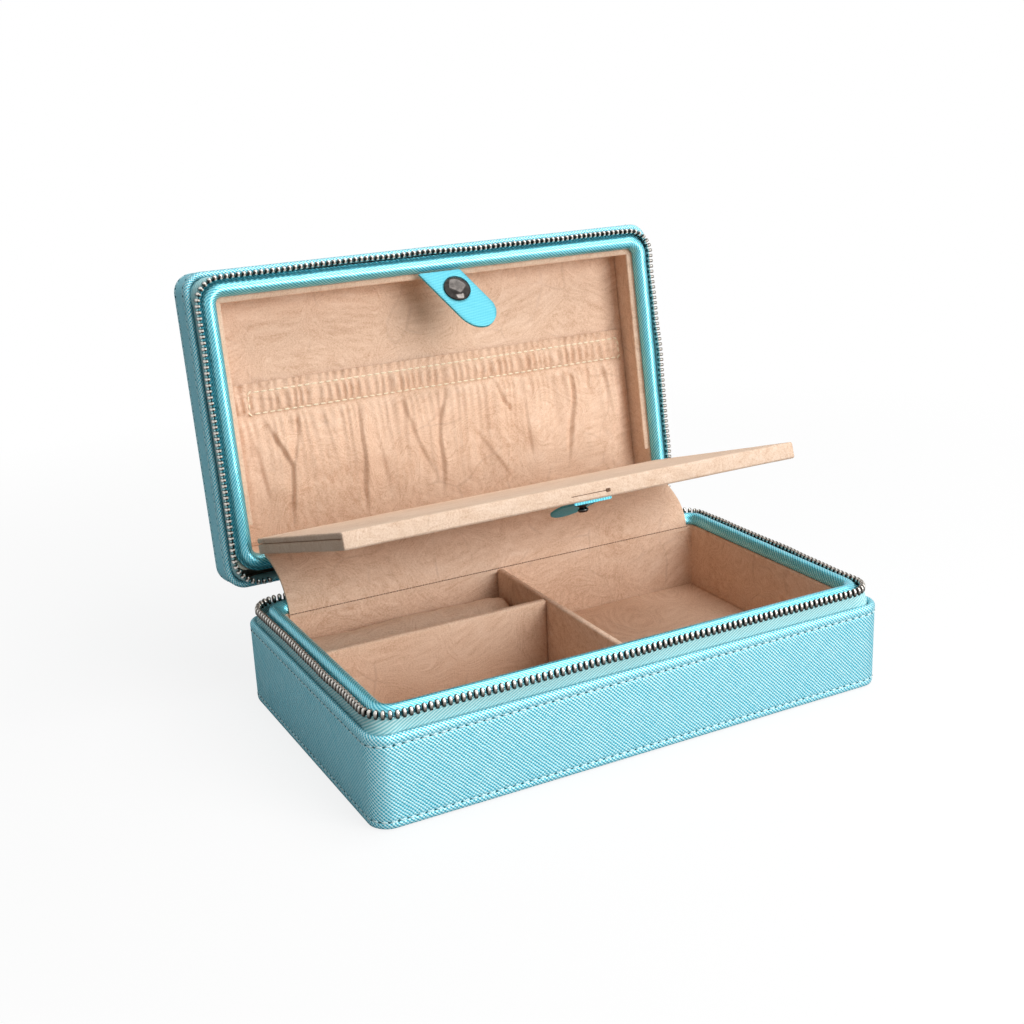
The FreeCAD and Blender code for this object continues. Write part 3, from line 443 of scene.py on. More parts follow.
def sweep(name, stations, section, place, material, closedPath=True, closedSection=True, ripple=None,
          sharp=35):
    # a section of (outward, height) points carried along the stations
    count, across = len(stations), len(section)
    total = pathLength(stations)
    drop = [0.0]
    for n in range(1, across + 1):
        drop.append(drop[-1] + math.dist(section[n % across], section[n - 1]))
    verts, faces, uvs = [], [], []
    for x, y, outX, outY, run in stations:
        for out, high in section:
            if ripple:
                addOut, addHigh = ripple(run, out, high)
                out, high = out + addOut, high + addHigh
            verts.append((x + outX * out, y + outY * out, high))
    for i in range(count if closedPath else count - 1):
        following = (i + 1) % count
        near, far = stations[i][4], stations[following][4] if following else total
        for j in range(across if closedSection else across - 1):
            up = (j + 1) % across
            faces.append((i * across + j, following * across + j, following * across + up, i * across + up))
            uvs += [(near, drop[j]), (far, drop[j]), (far, drop[j + 1]), (near, drop[j + 1])]
    if closedSection and not closedPath:
        for ring in (range(across), range((count - 1) * across, count * across)):
            faces.append(tuple(ring))
            uvs += [section[n % across] for n in ring]
    return makePiece(name, verts, faces, uvs, place, material, sharp)


def gridLines(low, high, radius, step):
    # close together over the rounded edges, a step apart between them
    span = high - low - 2 * radius
    inner = max(1, round(span / step))
    edge = [radius * share for share in (0.0, 0.3, 0.65)]
    middle = [low + radius + span * n / inner for n in range(inner + 1)]
    return [low + e for e in edge] + middle + [high - e for e in reversed(edge)]


def softBoard(name, low, high, radius, step, place, material, bow=0.0, seed=0.0):
    # a board with rounded edges, its faces a little uneven under the cloth
    lines = [gridLines(low[n], high[n], radius, step) for n in range(3)]
    ends = [len(line) - 1 for line in lines]
    unevenness = 0.07  # about one lump in 14 mm
    known, verts, faces, uvs = {}, [], [], []

    def vertex(key):
        if key not in known:
            point = Vector([lines[n][key[n]] for n in range(3)])
            core = Vector([min(max(point[n], low[n] + radius), high[n] - radius) for n in range(3)])
            away = point - core
            if away.length > 1e-6:
                away.normalize()
                lump = noise.noise(point * unevenness + Vector((seed, 0, 0))) * bow
                point = core + away * (radius + lump)
            known[key] = len(verts)
            verts.append(point)
        return known[key]

    for axis in range(3):
        one, two = [n for n in range(3) if n != axis]
        for side in (0, ends[axis]):
            for i in range(ends[one]):
                for j in range(ends[two]):
                    corners = []
                    for a, b in ((i, j), (i + 1, j), (i + 1, j + 1), (i, j + 1)):
                        key = [0, 0, 0]
                        key[axis], key[one], key[two] = side, a, b
                        corners.append(tuple(key))
                    faces.append([vertex(key) for key in corners])
                    uvs += [(lines[one][key[one]], lines[two][key[two]]) for key in corners]
    return makePiece(name, verts, faces, uvs, place, material, 60)


def turnedPiece(name, outline, place, material, steps=40):
    # a half profile of (radius, height) spun about its axis
    verts, faces, uvs, rings = [], [], [], []
    for radius, height in outline:
        if radius < 1e-6:
            rings.append([len(verts)] * steps)
            verts.append((0, 0, height))
            continue
        rings.append(list(range(len(verts), len(verts) + steps)))
        for n in range(steps):
            a = 2 * math.pi * n / steps
            verts.append((radius * math.cos(a), radius * math.sin(a), height))
    for low, high in zip(rings, rings[1:]):
        for n in range(steps):
            after = (n + 1) % steps
            corners = [low[n], low[after], high[after], high[n]]
            face = [v for k, v in enumerate(corners) if v not in corners[:k]]
            if len(face) > 2:
                faces.append(face)
                uvs += [(verts[v][0], verts[v][1]) for v in face]
    return makePiece(name, verts, faces, uvs, place, material, 50)


def slabFaces(rows, wide):
    # both faces of a sheet that has rows of this many points, and the wall round its edge
    block = rows * wide
    faces = []
    for first in (0, block):
        for row in range(rows - 1):
            for a in range(first + row * wide, first + row * wide + wide - 1):
                faces.append((a, a + 1, a + wide + 1, a + wide))
    edge = list(range(wide)) + [row * wide + wide - 1 for row in range(1, rows)]
    edge += [(rows - 1) * wide + k for k in range(wide - 2, -1, -1)]
    edge += [row * wide for row in range(rows - 2, 0, -1)]
    for v, after in zip(edge, edge[1:] + edge[:1]):
        faces.append((v, after, after + block, v + block))
    return faces


def dress(piece, body, slot, *nodes):
    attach(piece, body)
    if nodes:
        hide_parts(*nodes)
    return piece


def newTree(name, inputs):
    tree = bpy.data.node_groups.new(name, "GeometryNodeTree")
    for label, kind in inputs:
        tree.interface.new_socket(label, in_out="INPUT", socket_type="NodeSocket" + kind)
    tree.interface.new_socket("Made", in_out="OUTPUT", socket_type="NodeSocketGeometry")
    return tree, addNode(tree, "NodeGroupInput").outputs


def followPath(tree, given):
    # points a pitch apart on the path, its tangent, and a turn that stands each one on its facing
    curve = addNode(tree, "GeometryNodeMeshToCurve", None, {"Mesh": given["Path"]})
    points = addNode(tree, "GeometryNodeResampleCurve", {"mode": "LENGTH"}, {
        "Curve": curve, "Length": given["Pitch"]})
    tangent = addNode(tree, "GeometryNodeInputTangent")
    facing = addNode(tree, "GeometryNodeInputNamedAttribute", {"data_type": "FLOAT_VECTOR", "Name": "facing"})
    along = addNode(tree, "FunctionNodeAlignRotationToVector", {"axis": "X"}, {"Vector": tangent})
    upright = addNode(tree, "FunctionNodeAlignRotationToVector", {"axis": "Z", "pivot_axis": "X"}, {
        "Rotation": along, "Vector": facing})
    return points, tangent, upright


def stitchTree():
    tree, given = newTree("stitchRow", [
        ("Path", "Geometry"), ("Pitch", "Float"), ("Stitch", "Vector"), ("Hole", "Vector"), ("Seed", "Int"),
        ("Thread", "Material"), ("Shade", "Material")])
    points, tangent, turn = followPath(tree, given)
    ball = addNode(tree, "GeometryNodeMeshUVSphere", {"Segments": 8, "Rings": 6, "Radius": 0.5})
    waver = addNode(tree, "FunctionNodeRandomValue", {
        "data_type": "FLOAT_VECTOR", "Min": (-0.02, -0.05, -0.06), "Max": (0.02, 0.05, 0.06)}, {
        "Seed": given["Seed"]})
    lean = addNode(tree, "FunctionNodeEulerToRotation", None, {0: waver})
    leaning = addNode(tree, "FunctionNodeRotateRotation", {"rotation_space": "LOCAL"}, {
        "Rotation": turn, "Rotate By": lean})
    sewn = addNode(tree, "GeometryNodeInstanceOnPoints", None, {
        "Points": points, "Instance": ball, "Rotation": leaning, "Scale": given["Stitch"]})
    half = addNode(tree, "ShaderNodeMath", {"operation": "MULTIPLY", 1: 0.5}, {0: given["Pitch"]})
    ahead = addNode(tree, "ShaderNodeVectorMath", {"operation": "SCALE"}, {0: tangent, "Scale": half})
    moved = addNode(tree, "GeometryNodeSetPosition", None, {"Geometry": points, "Offset": ahead})
    # the needle holes: small spots of the Shade material, painted shade where the thread enters the cloth in
    # the cover, spine and hinge seam rows
    pricked = addNode(tree, "GeometryNodeInstanceOnPoints", None, {
        "Points": moved, "Instance": ball, "Rotation": turn, "Scale": given["Hole"]})
    branches = []
    for instances, material in ((sewn, "Thread"), (pricked, "Shade")):
        real = addNode(tree, "GeometryNodeRealizeInstances", None, {"Geometry": instances})
        branches.append(addNode(tree, "GeometryNodeSetMaterial", None, {
            "Geometry": real, "Material": given[material]}))
    joined = addNode(tree, "GeometryNodeJoinGeometry")
    for branch in branches:
        tree.links.new(branch.outputs[0], joined.inputs[0])
    addNode(tree, "NodeGroupOutput", None, {"Made": joined})
    return tree


def chainTree():
    tree, given = newTree("zipChain", [
        ("Path", "Geometry"), ("Pitch", "Float"), ("Tooth", "Object"), ("Metal", "Material")])
    points, _, turn = followPath(tree, given)
    tooth = addNode(tree, "GeometryNodeObjectInfo", None, {"Object": given["Tooth"]})
    clamped = addNode(tree, "GeometryNodeInstanceOnPoints", None, {
        "Points": points, "Instance": tooth.outputs["Geometry"], "Rotation": turn})
    real = addNode(tree, "GeometryNodeRealizeInstances", None, {"Geometry": clamped})
    painted = addNode(tree, "GeometryNodeSetMaterial", None, {"Geometry": real, "Material": given["Metal"]})
    addNode(tree, "NodeGroupOutput", None, {"Made": painted})
    return tree


def runTree(name, runs, place, tree, values):
    # runs of (point, facing) in mm become a path, and what the tree makes of it is kept as a plain mesh
    verts, edges, facings = [], [], []
    turn = place.to_3x3()
    for points, closed in runs:
        first = len(verts)
        for point, facing in points:
            verts.append((place @ Vector(point)) * mm)
            facings.extend((turn @ Vector(facing)).normalized())
        edges += [(n, n + 1) for n in range(first, len(verts) - 1)]
        if closed:
            edges.append((len(verts) - 1, first))
    line = bpy.data.meshes.new("path")
    line.from_pydata(verts, edges, [])
    line.attributes.new("facing", "FLOAT_VECTOR", "POINT").data.foreach_set("vector", facings)
    path = addObject("path", line)
    modifier = path.modifiers.new("row", "NODES")
    modifier.node_group = tree
    names = {item.name: item.identifier for item in tree.interface.items_tree if item.in_out == "INPUT"}
    for label, value in values.items():
        modifier[names[label]] = value
    mesh = evaluated(path)
    path.modifiers.remove(modifier)
    bpy.data.objects.remove(path)
    mesh.name = name
    mesh.shade_smooth()
    return addObject(name, mesh)


stitchRow = stitchTree()
zipChain = chainTree()


def sewRow(name, runs, place, look, body, slot):
    # stitches with their needle holes between them, the holes in the row's shade material, painted shade in the
    # cover, spine and hinge seam rows
    row = runTree(name, runs, place, stitchRow, {
        "Pitch": look["pitch"] * mm,
        "Stitch": Vector(look["stitch"]) * mm,
        "Hole": Vector(look["hole"]) * mm,
        "Seed": look["seed"],
        "Thread": look["thread"],
        "Shade": look["shade"],
    })
    dress(row, body, slot)


cover = {
    "crestDrop": 6.8,
    "bottomRow": 2.7,
    "topRow": 3.3,
    "groove": 0.22,
    "threadInset": 0.2,
    "skin": 2.4,
    "plateInset": 1.2,
    "swell": 0.1,
}
coverStitch = {"pitch": 3.0, "stitch": (2.3, 0.9, 0.72), "hole": (0.85, 0.6, 0.5), "seed": 7,
               "thread": coverThread, "shade": needleHoleShade}


def coverSection(crest):
    # from the lower edge, over both stitched grooves, round the crest and down inside
    low, high = cover["bottomRow"], crest - cover["topRow"]
    deep, skin = cover["groove"], cover["skin"]
    return [
        (-3.2, 0.2), (-1.7, 0.0), (-0.8, 0.1), (-0.25, 0.45), (0.0, 1.1), (0.08, 1.8),
        (0.0, low - 0.45), (-deep, low), (0.0, low + 0.45), (0.03, low + 1.3), (0.03, (low + high) / 2),
        (0.03, high - 1.3), (0.0, high - 0.45), (-deep, high), (0.02, high + 0.45), (0.12, high + 1.2),
        (0.1, crest - 1.2), (-0.12, crest - 0.65), (-0.5, crest - 0.22), (-1.05, crest),
        (-1.65, crest - 0.16), (-2.1, crest - 0.6), (-skin, crest - 1.3), (-skin, crest - 3.6),
    ]


def coverPlate(name, half):
    # the flat outer face, one sheet with a rolled edge that tucks under the side
    section = [(-2.0, 0.5), (0.0, 0.35), (0.35, 0.16), (0.0, 0.02), (-2.5, 0.0)]
    stations = roundedPath(cover["plateInset"], case["corner"] - cover["plateInset"])
    count, across = len(stations), len(section)
    verts = [(x + outX * out, y + outY * out, high)
             for x, y, outX, outY, _ in stations for out, high in section]
    faces = []
    for i in range(count):
        here, after = i * across, (i + 1) % count * across
        faces += [(here + j, after + j, after + j + 1, here + j + 1) for j in range(across - 1)]
    faces += [tuple(range(j, count * across, across)) for j in (0, across - 1)]
    uvs = [verts[v][:2] for face in faces for v in face]
    return makePiece(name, verts, faces, uvs, half["frame"], coverLeather, 50)


def buildCover(word, half):
    crest = half["rise"] - cover["crestDrop"]

    def ripple(run, out, high):
        swell = lumps(run * 0.05, high * 0.06, half["coverSeed"])
        return (cover["swell"] * swell if 4 < high < crest - 5 else 0.0, 0.0)

    side = sweep(word + "CoverSide", roundedPath(0, case["corner"]), coverSection(crest), half["frame"],
                 coverLeather, closedSection=False, ripple=ripple, sharp=60)
    dress(side, word, "leatherette", word + "_cover_side")
    dress(coverPlate(word + "CoverPlate", half), word, "leatherette", half["plateNode"])
    inset = cover["threadInset"]
    rows = []
    for height in (cover["bottomRow"], crest - cover["topRow"]):
        path = roundedPath(inset, case["corner"] - inset)
        rows.append(([((x, y, height), (outX, outY, 0)) for x, y, outX, outY, _ in path], True))
    sewRow(word + "CoverStitches", rows, half["frame"], coverStitch, word, "leatherette")


zipSizes = {
    "inset": 2.75,
    "corner": 9.0,
    "drop": 2.6,
    "height": 10.0,
    "free": 5.0,
    "halfTape": 0.33,
    "tapeEnd": 72.5,
    "pitch": 2.14,
    "drift": 0.95,
    "chainEnd": {"base": 79.4, "lid": 82.7},
    "shift": {"base": 0.0, "lid": 0.5},
}
toothSizes = {
    "width": 2.0,
    "thick": 1.3,
    "foot": -0.4,
    "shoulder": 1.2,
    "reach": 2.3,
    "tip": 1.4,
    "between": 0.3,  # how bright the flanks are beside the faces, as painted shade between the teeth
}
zipPath = roundedPath(zipSizes["inset"], zipSizes["corner"], 0.0, 1.5, 12)
zipLength = pathLength(zipPath)
zipPath.append((*zipPath[0][:4], zipLength))


def wander(run):
    # slow drift of the sewn tape, mostly outwards, in mm
    slow = lumps(run * 0.02, 0.3, 0.7) + 0.5 * lumps(run * 0.07, 1.3, 2.7)
    return zipSizes["drift"] * max(0.55 + slow, -0.1)


def zipRun(word, end, step):
    # stations of the zip up to this far from the middle of the back, with their drift and slack
    reach = zipLength / 2 - end
    tighter = zipSizes["corner"] - case["corner"] + zipSizes["inset"]
    count = max(2, round(2 * reach / step))
    stations, at = [], 0
    for n in range(count + 1):
        run = zipLength / 2 - reach + 2 * reach * n / count
        while zipPath[at + 1][4] < run:
            at += 1
        here, after = zipPath[at], zipPath[at + 1]
        t = (run - here[4]) / (after[4] - here[4])
        x, y, outX, outY = [here[k] + (after[k] - here[k]) * t for k in range(4)]
        shift = wander(run if word == "base" else zipLength - run)
        slack = tighter * (abs(outX) + abs(outY) - 1)  # room between the wide bend and the cover
        stations.append((x, y, outX, outY, run, shift, slack))
    return stations


def toothShape():
    # one tooth: a clamp that straddles the tape and narrows to a rounded head
    wide, tip, thick = toothSizes["width"] / 2, toothSizes["tip"] / 2, toothSizes["thick"] / 2
    foot, shoulder, reach = toothSizes["foot"], toothSizes["shoulder"], toothSizes["reach"]
    rows = [
        (wide * 0.8, thick * 0.7, foot),
        (wide, thick * 0.9, foot + 0.4),
        (wide, thick, shoulder),
        (wide * 0.9, thick, (shoulder + reach) / 2),
        (tip, thick * 0.85, reach - 0.3),
        (tip * 0.6, thick * 0.45, reach),
    ]
    ring = [(-1, -0.6), (-0.6, -1), (0.6, -1), (1, -0.6), (1, 0.6), (0.6, 1), (-0.6, 1), (-1, 0.6)]
    sides = len(ring)
    verts, faces, toothShades = [], [], []
    # painted shade and highlight: each ring's shade value grows from the foot to the head, and the flanks get
    # only part of it
    for broad, deep, high in rows:
        level = max(0.0, (high - foot) / (reach - foot))
        for x, y in ring:
            verts.append((x * deep * mm, y * broad * mm, high * mm))
            toothShades.append(level * (toothSizes["between"] if abs(x) == 1 else 1.0))
    for first in range(0, len(verts) - sides, sides):
        for n in range(sides):
            after = (n + 1) % sides
            faces.append((first + n, first + after, first + sides + after, first + sides + n))
    faces.append(tuple(reversed(range(sides))))
    faces.append(tuple(range(len(verts) - sides, len(verts))))
    mesh = bpy.data.meshes.new("tooth")
    mesh.from_pydata(verts, [], faces)
    mesh.attributes.new("rise", "FLOAT", "POINT").data.foreach_set("value", toothShades)
    mesh.shade_smooth()
    return addObject("tooth", mesh)


def buildZip(word, half):
    top, wide = half["rise"] - zipSizes["drop"], zipSizes["halfTape"]
    heights = [top - zipSizes["height"], top - 4, top - 2, top]
    section = [(wide, high) for high in heights] + [(-wide, high) for high in reversed(heights)]
    stations = zipRun(word, zipSizes["tapeEnd"], 2.0)
    leans = {station[4]: station[5:] for station in stations}

    def ripple(run, out, high):
        free = max(0.0, min(1.0, (high - top + zipSizes["free"]) / zipSizes["free"]))
        shift, slack = leans[run]
        return (shift * free + slack * (1 - free), 0.0)

    tape = sweep(word + "ZipTape", [station[:5] for station in stations], section, half["frame"], zipTape,
                 closedPath=False, ripple=ripple)
    dress(tape, word, "zip_tape", word + "_zip_tape")
    pitch, shift = zipSizes["pitch"], zipSizes["shift"][word]
    room = zipLength / 2 - zipSizes["chainEnd"][word]
    reach = (math.floor(room / pitch - shift) + shift) * pitch
    points = [((x + outX * out, y + outY * out, top), (0, 0, 1))
              for x, y, outX, outY, _, out, _ in zipRun(word, zipLength / 2 - reach, 1.2)]
    tooth = toothShape()
    chain = runTree(word + "ZipChain", [(points, False)], half["frame"], zipChain, {
        "Pitch": pitch * mm, "Tooth": tooth, "Metal": shadedNickelTeeth})
    bpy.data.objects.remove(tooth)
    dress(chain, word, "zip_metal", word + "_zip_teeth")


rim = {
    "inset": 6.8,
    "radius": 5.4,
    "flange": 0.7,
    "shelf": 3.3,
    "half": 2.85,
    "clear": 0.2,
    "height": 5.6,
    "pucker": 0.09,
    "tuck": 1.35,
    "crown": 3.9,
}


def buildRim(word, half):
    # a stuffed roll: full and round on top, with a sewn flange that meets the zip tape
    wide, top = rim["half"], half["rise"] - rim["clear"]
    foot, shelf = top - rim["height"], top - rim["shelf"]
    ledge, edge, tuck = top - rim["crown"] - 0.15, wide + rim["flange"], rim["tuck"] - wide
    angles = [math.pi * n / 12 for n in range(1, 13)]
    section = [(wide * math.cos(a), top - rim["crown"] * (1 - math.sin(a))) for a in angles]
    section += [(-wide + 0.25, ledge), (tuck, ledge - 0.1), (tuck, foot), (wide - 0.3, foot),
                (edge, foot + 0.5), (edge, shelf - 0.25), (edge - 0.15, shelf), (wide, shelf + 0.05)]

    def ripple(run, out, high):
        pull = rim["pucker"] * lumps(run * 0.16, high * 0.3, half["seed"])
        return (pull, 0.6 * pull if high > half["rise"] - 2 else 0.0)

    path = roundedPath(rim["inset"], rim["radius"], case["backStep"], 2.0)
    roll = sweep(word + "RimRoll", path, section, half["frame"], rollLeather, ripple=ripple, sharp=80)
    dress(roll, word, "leatherette", word + "_rim_roll")


lining = {"top": 4.4, "thick": 0.85, "lump": 0.07}
liningEdge = {"low": 16.9, "high": 18.1, "wide": 2.0, "back": 36.0}
liningPath = roundedPath(case["mouthInset"], case["mouthCorner"], case["backStep"], 3.0, 6)


def buildLining(word, half):
    edge, low, thick = half["rise"] - lining["top"], case["plateTop"] + 0.05, lining["thick"]
    section = [(0.0, low), (0.0, low + (edge - low) * 0.33), (0.0, low + (edge - low) * 0.66),
               (0.02, edge - 0.9), (0.14, edge - 0.35), (0.45, edge - 0.05), (thick - 0.35, edge - 0.02),
               (thick, edge - 0.4), (thick, low)]

    def ripple(run, out, high):
        lump = lumps(run * 0.06, high * 0.08, half["seed"] + 2)
        return (lining["lump"] * (lump - 1) if out < 0.1 else 0.0, 0.0)

    wall = sweep(word + "LiningWall", liningPath, section, half["frame"], liningSuede, ripple=ripple,
                 sharp=80)
    dress(wall, word, "suede", word + "_lining_wall")


def buildLiningEdge():
    # the wrapped edge of the lid's lining board, which shows inside the rim roll on three sides
    low, high, wide = liningEdge["low"], liningEdge["high"], liningEdge["wide"]
    section = [(0.3, low), (0.4 - wide, low), (0.1 - wide, low + 0.3), (-wide, (low + high) / 2),
               (0.1 - wide, high - 0.3), (0.4 - wide, high), (0.3, high)]
    stations = [station for station in liningPath if station[1] < liningEdge["back"]]
    edge = sweep("lidLiningEdge", stations, section, lidFrame, liningSuede, closedPath=False, sharp=80)
    dress(edge, "lid", "suede")


for word, half in halves.items():
    buildCover(word, half)
    buildZip(word, half)
    buildRim(word, half)
    buildLining(word, half)
buildLiningEdge()
print("both halves dressed")


floorPad = {"gap": 0.05, "round": 0.7, "step": 4.0, "bow": 0.07, "seed": 2.0}
for word, half in halves.items():
    gap = floorPad["gap"]
    low = (gap - case["mouthRight"], gap - case["mouthFront"], case["plateTop"] + gap)
    high = (case["mouthRight"] - gap, case["mouthBack"] - gap, half["floor"])
    pad = softBoard(word + "Pad", low, high, floorPad["round"], floorPad["step"], half["frame"], liningSuede,
                    floorPad["bow"], floorPad["seed"])
    dress(pad, word, "suede", half["padNode"])

divider = {"half": 1.25, "top": 32.8, "foot": 7.8, "round": 0.85, "step": 3.0, "bow": 0.1, "gap": 0.1,
           "crossX": -0.5, "longY": 7.7}
gap, foot, top = divider["gap"], divider["foot"], divider["top"]
left, right = divider["crossX"] - divider["half"], divider["crossX"] + divider["half"]
front, back = divider["longY"] - divider["half"], divider["longY"] + divider["half"]
dividerBoards = [  # name, low corner, high corner, seed of its unevenness, node
    ("crossDivider", (left, gap - case["mouthFront"], foot), (right, case["mouthBack"] - gap, top), 5.0,
     "cross_divider"),
    ("longDivider", (gap - case["mouthRight"], front, foot), (left - gap, back, top), 9.0, "long_divider"),
]
for name, low, high, seed, node in dividerBoards:
    board = softBoard(name, low, high, divider["round"], divider["step"], baseFrame, liningSuede,
                      divider["bow"], seed)
    dress(board, "base", "suede", node)

ringRoll = {
    "radius": 8.3,
    "end": 4.0,
    "from": -87.0,
    "to": -2.45,
    "z": 16.95,
    "lump": 0.25,
    "shy": 0.1,
    "voxel": 2.0,
    "air": 90.0,
    "mass": 0.02,
    "slack": 0.01,
    "most": 0.55,
    "sewn": 1.5,
    "frames": 20,
}


def rollOutline():
    left, right, radius, end = ringRoll["from"], ringRoll["to"], ringRoll["radius"], ringRoll["end"]
    bends = [math.pi / 2 * n / 5 for n in range(6)]
    length = right - left - 2 * end
    points = [(0.0, left)]
    points += [(radius - end + end * math.sin(a), left + end - end * math.cos(a)) for a in bends]
    points += [(radius, left + end + length * n / 24) for n in range(1, 24)]
    points += [(radius - end + end * math.cos(a), right - end + end * math.sin(a)) for a in bends]
    return points + [(0.0, right)]


def puffed(piece):
    # cloth simulation: air fills a cover cut slightly slack, its ends stay sewn,
    # and no point moves past the most
    bag = addObject("bag", piece.data.copy())
    even = bag.modifiers.new("even", "REMESH")
    even.mode = "VOXEL"
    even.voxel_size = ringRoll["voxel"] * mm
    mesh = evaluated(bag)
    bag.modifiers.remove(even)
    bag.data = mesh
    left, right = min(v.co.x for v in mesh.vertices), max(v.co.x for v in mesh.vertices)
    ends = [v.index for v in mesh.vertices if min(v.co.x - left, right - v.co.x) < ringRoll["sewn"] * mm]
    bag.vertex_groups.new(name="sewn").add(ends, 1.0, "REPLACE")
    starts = [v.co.copy() for v in mesh.vertices]
    cloth = bag.modifiers.new("air", "CLOTH")
    cloth.settings.vertex_group_mass = "sewn"
    cloth.settings.use_pressure = True
    cloth.settings.uniform_pressure_force = ringRoll["air"]
    cloth.settings.mass = ringRoll["mass"]
    cloth.settings.shrink_min = -ringRoll["slack"]
    cloth.settings.effector_weights.gravity = 0.0
    cloth.point_cache.frame_start, cloth.point_cache.frame_end = 1, ringRoll["frames"]
    for step in range(1, ringRoll["frames"] + 1):
        bpy.context.scene.frame_set(step)
    filled = evaluated(bag)
    bag.modifiers.remove(cloth)
    bpy.context.scene.frame_set(1)
    moves = []
    for vertex, start in zip(filled.vertices, starts):
        move = vertex.co - start
        moves.append(move.length / mm)
        vertex.co = start + move * min(1.0, ringRoll["most"] / max(moves[-1], 1e-6))
    bag.data = filled
    bag.modifiers.new("finer", "SUBSURF").levels = 1
    smooth = evaluated(bag)
    bpy.data.objects.remove(bag)
    smooth.name = piece.name
    smooth.materials.clear()
    smooth.materials.append(piece.data.materials[0])
    smooth.shade_smooth()
    piece.data = smooth
    mean = sum(moves) / len(moves)
    print("puffed", piece.name, "most move", round(max(moves), 2), "mm, mean", round(mean, 2))


def buildRoll(name, y, node, seed):
    place = Matrix.Translation((0, y, ringRoll["z"])) @ Matrix.Rotation(math.pi / 2, 4, "Y")
    roll = turnedPiece(name, rollOutline(), place, paleSuede, 36)
    for vertex in roll.data.vertices:
        lump = noise.noise(vertex.co * 60 + Vector((seed, 0, 0))) * ringRoll["lump"] * mm
        out = Vector((0, vertex.co.y - y * mm, vertex.co.z - ringRoll["z"] * mm))
        if out.length > ringRoll["end"] * mm:
            vertex.co += out.normalized() * (lump - ringRoll["shy"] * mm)
    puffed(roll)
    dress(roll, "base", "suede", node)


buildRoll("ringRollBack", 36.2, "ring_roll_back", 1.0)
buildRoll("ringRollFront", 18.1, "ring_roll_front", 4.0)
print("base fitted out")

flap = {"half": 87.0, "length": 92.8, "split": 3.7, "thick": 5.9, "gap": 0.05, "round": 0.75, "step": 4.0,
        "bow": 0.1}
flapPlies = [  # name, underside, top, seed of its unevenness, node
    ("flapLowerBoard", 0.0, flap["split"] - flap["gap"], 11.0, "flap_lower_board"),
    ("flapUpperBoard", flap["split"] + flap["gap"], flap["thick"], 14.0, "flap_upper_board"),
]
for name, low, high, seed, node in flapPlies:
    ply = softBoard(name, (-flap["half"], -flap["length"], low), (flap["half"], 0.0, high), flap["round"],
                    flap["step"], flapFrame, paleSuede, flap["bow"], seed)
    dress(ply, "flap", "suede", node)
wrap = {"proud": 0.25, "back": 1.2, "side": 0.2, "edge": 0.25, "round": 0.55, "step": 3.0, "bow": 0.12,
        "seed": 17.0}
front = -flap["length"] - wrap["proud"]
low = (wrap["side"] - flap["half"], front, wrap["edge"])
high = (flap["half"] - wrap["side"], wrap["back"] - flap["length"], flap["thick"] - wrap["edge"])
frontWrap = softBoard("flapFrontWrap", low, high, wrap["round"], wrap["step"], flapFrame, paleSuede,
                      wrap["bow"], wrap["seed"])
dress(frontWrap, "flap", "suede")
# painted shade: the slit in the flap's front edge and the hole at its end are thin dark boards set into the
# edge, not cuts
slit = {"from": -5.9, "to": 9.3, "z": 2.2, "tall": 0.35, "hole": 1.9, "proud": 0.06, "deep": 0.5}
for name, left, tall in (("flapSlit", slit["from"], slit["tall"]),
                         ("flapSlitEnd", slit["to"] - slit["hole"], slit["hole"] * 0.7)):
    low = (left, front - slit["proud"], slit["z"] - tall / 2)
    high = (slit["to"], front + slit["deep"], slit["z"] + tall / 2)
    dress(softBoard(name, low, high, tall * 0.3, 3.0, flapFrame, slitShade), "flap", "suede")


def strapPiece(name, sizes, place):
    # a flat leather strap with a round tip and softened edges: its root is cut aslant, and it sags to the tip
    half, length, thick = sizes["width"] / 2, sizes["length"], sizes["thick"]
    slant = math.tan(math.radians(sizes["lean"]))
    spans = [n / 24 for n in range(20)] + [1 - (1 - n / 12) ** 2 / 6 for n in range(1, 13)]
    across = [-1.0, -0.94, -0.7, -0.35, 0.0, 0.35, 0.7, 0.94, 1.0]
    rows = []
    for t in sorted(set(spans)):
        run = t * length
        into = max(0.0, run - length + half)
        rows.append((run, math.sqrt(max(half * half - into * into, 0.0))))
    verts = []
    for side in (0, 1):
        for run, wide in rows:
            for share in across:
                x = share * wide
                start = sizes["tuck"] - x * slant
                y = start - run * (length + start) / length
                edge = 0.16 * thick if abs(share) == 1.0 or run == length else 0.0
                high = thick - edge if side else edge
                verts.append((x, y, high - sizes["sag"] * (y / length) ** 2))
    faces = slabFaces(len(rows), len(across))
    uvs = [verts[v][:2] for face in faces for v in face]
    piece = makePiece(name, verts, faces, uvs, place, strapLeather, 50)
    work = bmesh.new()
    work.from_mesh(piece.data)
    bmesh.ops.remove_doubles(work, verts=work.verts, dist=0.01 * mm)
    bmesh.ops.recalc_face_normals(work, faces=work.faces)
    work.to_mesh(piece.data)
    work.free()
    return piece


flapTab = {"width": 14.5, "length": 24.0, "thick": 1.0, "tuck": 0.0, "lean": 0.0, "sag": 4.2, "middle": 3.2,
           "root": 90.8}
tabRoot = Matrix.Translation((flapTab["middle"], -flapTab["root"], -flapTab["thick"]))
tab = strapPiece("flapTab", flapTab, flapFrame @ tabRoot @ Matrix.Rotation(math.pi, 4, "Z"))
dress(tab, "flap", "leatherette", "flap_tab")
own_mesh(tab)

